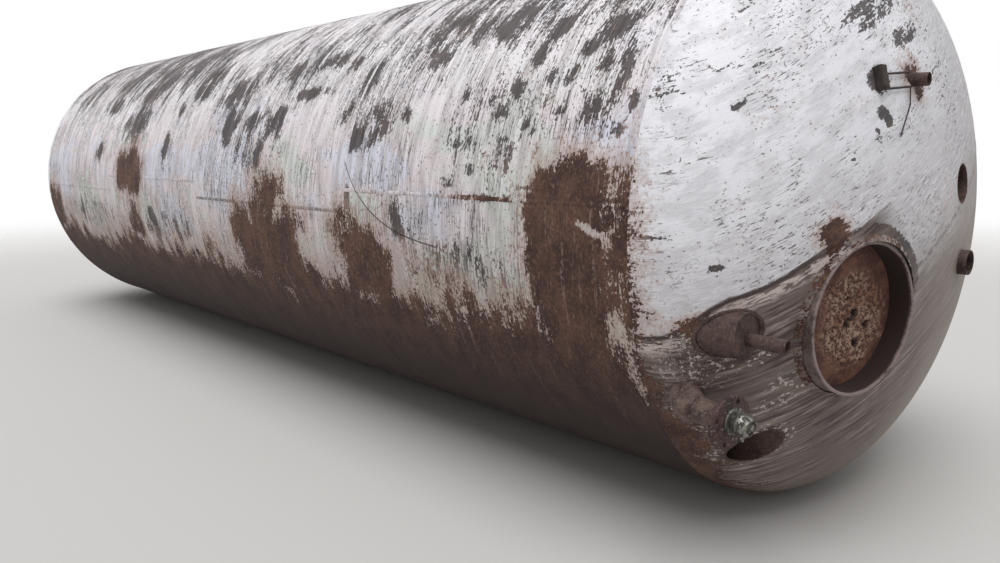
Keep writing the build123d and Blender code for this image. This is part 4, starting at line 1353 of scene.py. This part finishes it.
elbow = bmesh.new()
bmesh.ops.create_circle(elbow, cap_ends=False, segments=80, radius=ELBOW_RADIUS,
                        matrix=stand_at(DRAIN_SPOT - DRAIN_OUT * 0.04, DRAIN_OUT))
rim = elbow.edges[:]
for step in range(3):
    rim = grow_rim(elbow, rim, DRAIN_OUT * 0.04 / 3)
hinge = DRAIN_OUT.cross(towards_pivot)
rim_verts = list({v for e in rim for v in e.verts})
spun = bmesh.ops.spin(elbow, geom=rim_verts + rim, cent=DRAIN_SPOT + towards_pivot * ELBOW_BEND,
                      axis=hinge, angle=elbow_turn, steps=18)
rim = edges_in(spun["geom_last"])
rim = grow_rim(elbow, rim, DRAIN_WAY * REDUCER, DRAIN_PIPE_RADIUS / ELBOW_RADIUS, on_drain(REDUCER))
close_skin(elbow)
first = elbow.faces[:][0]
if first.normal.dot(first.calc_center_median() - DRAIN_SPOT + DRAIN_OUT * 0.03) < 0:
    bmesh.ops.reverse_faces(elbow, faces=elbow.faces)
give_wall(elbow, ELBOW_WALL)
eat_away(elbow, 0.0008, 0.015, 5)
make_piece("drain_elbow_wall", elbow, DRAIN_STEEL, "rusted_steel", "drain_elbow")
pipe = pipe_wall(DRAIN_PIPE_RADIUS, 0.004, REDUCER, REDUCER + DRAIN_PIPE_LENGTH, rings=16, steps=80)
eat_away(pipe, 0.0008, 0.014, 6)
make_piece("drain_pipe_wall", set_in_place(pipe, DRAIN_OUTLET, DRAIN_WAY), DRAIN_STEEL,
           "rusted_steel", "drain_pipe")

# %% The closed flange with its valve and bolt holes
FLANGE_START = REDUCER + DRAIN_PIPE_LENGTH - 0.009
FLANGE_THICKNESS = 0.018
FLANGE_STEP = 0.004
FLANGE_RADIUS = 0.0925
FACE_RADIUS = 0.062
SEAT_RADIUS = 0.0448
SEAT_DEPTH = 0.0093
BOLT_CIRCLE = 0.075
BOLT_HOLE = 0.009
VALVE_RISE = 0.012
VALVE_BORE = 0.013
face_end = FLANGE_THICKNESS + FLANGE_STEP
flange = bmesh.new()
section = [(0, SEAT_DEPTH), (SEAT_RADIUS, SEAT_DEPTH), (SEAT_RADIUS, 0), (FLANGE_RADIUS, 0),
           (FLANGE_RADIUS, FLANGE_THICKNESS), (FACE_RADIUS, FLANGE_THICKNESS), (FACE_RADIUS, face_end),
           (0, face_end)]
corners = [flange.verts.new((r, 0, z)) for r, z in section]
for first, second in zip(corners, corners[1:]):
    flange.edges.new((first, second))
spin_round(flange, 96)
break_edges(flange, sharp_edges(flange), 0.0015)
set_in_place(flange, on_drain(FLANGE_START), DRAIN_WAY)
holes = bmesh.new()
round_cutter(holes, on_drain(FLANGE_START, VALVE_RISE), DRAIN_WAY, VALVE_BORE, -0.02, 0.05)
flange_placing = stand_at(on_drain(FLANGE_START), DRAIN_WAY)
for index in range(4):
    turn = SEAM_ROLL + math.radians(45 + 90 * index)
    middle = flange_placing @ (Vector((math.cos(turn), math.sin(turn), 0)) * BOLT_CIRCLE)
    round_cutter(holes, middle, DRAIN_WAY, BOLT_HOLE, -0.01, 0.04)
flange = cut_with(flange, holes)
FLANGE_STEEL = rusted_steel("maroon_rust_with_flaking_paint", "251716", "483331", "85736f", 0.25, 0.016)
make_piece("drain_flange_disc", flange, FLANGE_STEEL, "rusted_steel", "drain_flange")


# %% The nickel-plated valve
def scuffed_nickel():
    """Nickel plating on brass: bright and slightly green, dulled by grime in its corners."""
    made, tree, surface = finish_named("scuffed_nickel_plating")
    where = add(tree, "ShaderNodeTexCoord", out="Object")
    grime = drawn_noise(tree, where, (0.02, 0.02, 0.02), 4, 0.65, 3.3)
    scuffs = drawn_noise(tree, where, (0.003, 0.012, 0.003), 3, 0.6, 4.2)
    dirty = rises(tree, grime, 0.44, 0.56, 0.9)
    colour = blend_colour(tree, dirty, "8b8a82", "241f1c")
    rough = sums(tree, sums(tree, 0.22, scuffs, 0.2), dirty, 0.4)
    set_surface(tree, surface, colour, rough, sums(tree, scuffs, grime, 0.5), 0.0003)
    metal = add(tree, "ShaderNodeMath", {0: 1.0, 1: dirty}, operation="SUBTRACT")
    tree.links.new(metal, surface.inputs["Metallic"])
    return made


NICKEL = scuffed_nickel()
VALVE_START = FLANGE_START + FLANGE_THICKNESS + FLANGE_STEP
BASE_RADIUS = 0.046
BASE_HEIGHT = 0.010
BALL_RADIUS = 0.040
BALL_MIDDLE = 0.042
MOUTH_RADIUS = 0.024
VALVE_LENGTH = 0.072
NUT_MIDDLE = 0.061
valve = bmesh.new()
outline = [(VALVE_BORE, 0), (BASE_RADIUS, 0), (BASE_RADIUS, BASE_HEIGHT)]
for degrees in range(37, 144, 8):
    turn = math.radians(degrees)
    outline.append((math.sin(turn) * BALL_RADIUS, BALL_MIDDLE - math.cos(turn) * BALL_RADIUS))
outline += [(MOUTH_RADIUS, VALVE_LENGTH), (VALVE_BORE, VALVE_LENGTH)]
loop = [valve.verts.new((radius, 0, height)) for radius, height in outline]
for first, second in zip(loop, loop[1:] + loop[:1]):
    valve.edges.new((first, second))
spin_round(valve, 64)
break_edges(valve, sharp_edges(valve, 50), 0.0008)
set_in_place(valve, on_drain(VALVE_START, VALVE_RISE), DRAIN_WAY)
make_piece("drain_valve_body", valve, NICKEL, "valve_nickel", "drain_valve")
nut = bmesh.new()
bmesh.ops.create_cone(nut, cap_ends=True, segments=6, radius1=0.0323, radius2=0.0323, depth=0.022,
                      matrix=Matrix.Translation((0, 0, NUT_MIDDLE)) @ Matrix.Rotation(math.pi / 6, 4, "Z"))
break_edges(nut, nut.edges[:], 0.0012)
bore = bmesh.new()
round_cutter(bore, Vector((0, 0, NUT_MIDDLE)), UPRIGHT, 0.020, -0.03, 0.03)
nut = cut_with(nut, bore)
set_in_place(nut, on_drain(VALVE_START, VALVE_RISE), DRAIN_WAY)
make_piece("drain_valve_nut", nut, NICKEL, "valve_nickel")
stem = bmesh.new()
bmesh.ops.create_cone(stem, cap_ends=True, segments=24, radius1=0.008, radius2=0.008, depth=0.032,
                      matrix=Matrix.Translation((-BALL_RADIUS, 0, BALL_MIDDLE))
                      @ Matrix.Rotation(math.pi / 2, 4, "Y"))
break_edges(stem, sharp_edges(stem), 0.001)
set_in_place(stem, on_drain(VALVE_START, VALVE_RISE), DRAIN_WAY)
make_piece("drain_valve_stem", stem, NICKEL, "valve_nickel")

# %% [markdown]
# ## Vent bracket
# Beside the vent stub a lug holds two thin rods, and a bent wire hangs from the lower one.
# The CAD meshes of the rods and the wire are as fine as they need to be, so they keep their
# shape and take the blackened steel finish. The lug is torch cut, so it gets a rough form.

# %% Model the lug and finish the rods and the wire
lug_spot = onto_head(head_place(VENT_UV[0] + 0.188, VENT_UV[1] - 0.095))
lug = bmesh.new()
bmesh.ops.create_cube(lug, size=1)
bmesh.ops.scale(lug, verts=lug.verts, vec=(0.084, 0.034, 0.040))
bmesh.ops.translate(lug, verts=lug.verts, vec=(0, 0, 0.014))
break_edges(lug, lug.edges[:], 0.004, segments=3)
bmesh.ops.subdivide_edges(lug, edges=lug.edges[:], cuts=5, use_grid_fill=True)
eat_away(lug, 0.0025, 0.016, 9)
set_in_place(lug, lug_spot, off_head(lug_spot))
make_piece("vent_lug_block", lug, DARK_STEEL, "rusted_steel", "vent_lug")
for node in ("upper_rod", "lower_rod", "tie_wire"):
    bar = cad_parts[node]
    bar.data.materials.clear()
    bar.data.materials.append(DARK_STEEL)

# %% [markdown]
# ## Floor, light and camera
# The tank stands on a plain pale floor that fades out into a white sky. The sky is dimmer
# on the tank than it looks to the camera, and a wide, soft sun above gives the shadow. The
# camera's place, turn and lens were fitted to the outline of the tank and to its seams.

# %% The floor
floor_mesh = bpy.data.meshes.new("studio_floor")
bm = bmesh.new()
bmesh.ops.create_grid(bm, x_segments=1, y_segments=1, size=60)
bm.to_mesh(floor_mesh)
bm.free()
floor = bpy.data.objects.new("studio_floor", floor_mesh)
bpy.context.scene.collection.objects.link(floor)
floor_paint, floor_tree, floor_surface = finish_named("matt_floor_paint")
floor_surface.inputs["Base Color"].default_value = paint_hex("cac8c6")
floor_surface.inputs["Roughness"].default_value = 0.9
place = add(floor_tree, "ShaderNodeTexCoord", out="Object")
distance = add(floor_tree, "ShaderNodeVectorMath", {0: place}, out="Value", operation="LENGTH")
fading = add(floor_tree, "ShaderNodeMixShader", {0: rises(floor_tree, distance, 6.0, 15.0),
                                                 1: floor_surface.outputs[0],
                                                 2: add(floor_tree, "ShaderNodeBsdfTransparent")})
floor_tree.links.new(fading, floor_tree.nodes["Material Output"].inputs["Surface"])
floor_mesh.materials.append(floor_paint)

# %% The sky and the sun
scene = bpy.context.scene
scene.view_settings.view_transform = "Standard"
world = bpy.data.worlds.new("overcast_studio")
scene.world = world
world.use_nodes = True
sky = world.node_tree
background = sky.nodes["Background"]
background.inputs["Color"].default_value = (1, 1, 1, 1)
SKY_LEVEL = 0.45
rays = add(sky, "ShaderNodeLightPath").node.outputs
seen = add(sky, "ShaderNodeMath", {0: rays["Is Camera Ray"], 1: rays["Is Glossy Ray"]}, operation="MAXIMUM")
seen = add(sky, "ShaderNodeMath", {0: seen, 1: rays["Is Transmission Ray"]}, operation="MAXIMUM")
sky.links.new(sums(sky, SKY_LEVEL, seen, 1 - SKY_LEVEL), background.inputs["Strength"])
sun_data = bpy.data.lights.new("soft_overhead_light", "SUN")
sun_data.energy = 2.05
sun_data.angle = math.radians(50)
sun = bpy.data.objects.new("soft_overhead_light", sun_data)
scene.collection.objects.link(sun)
sun.matrix_world = stand_at(Vector((0, 0, 8)), Vector((0.14, -0.26, 0.95)), ALONG_TANK)

# %% The camera
SENSOR_WIDTH = 36
FOCAL_PIXELS = 788.45
PICTURE_WIDTH = 1000
camera_data = bpy.data.cameras.new("photo_camera")
camera = bpy.data.objects.new("photo_camera", camera_data)
scene.collection.objects.link(camera)
YAW, PITCH, ROLL = -0.81416, -0.17089, -0.01050
ahead = Vector((math.sin(YAW) * math.cos(PITCH), math.cos(YAW) * math.cos(PITCH), math.sin(PITCH)))
level_right = Vector((math.cos(YAW), -math.sin(YAW), 0))
upward = level_right.cross(ahead)
right = level_right * math.cos(ROLL) + upward * math.sin(ROLL)
upward = -level_right * math.sin(ROLL) + upward * math.cos(ROLL)
camera.matrix_world = (Matrix.Translation((5.0745, -3.3111, 1.5193))
                       @ Matrix((right, upward, -ahead)).transposed().to_4x4())
camera_data.sensor_width = SENSOR_WIDTH
camera_data.lens = FOCAL_PIXELS / PICTURE_WIDTH * SENSOR_WIDTH
camera_data.clip_end = 200
scene.camera = camera
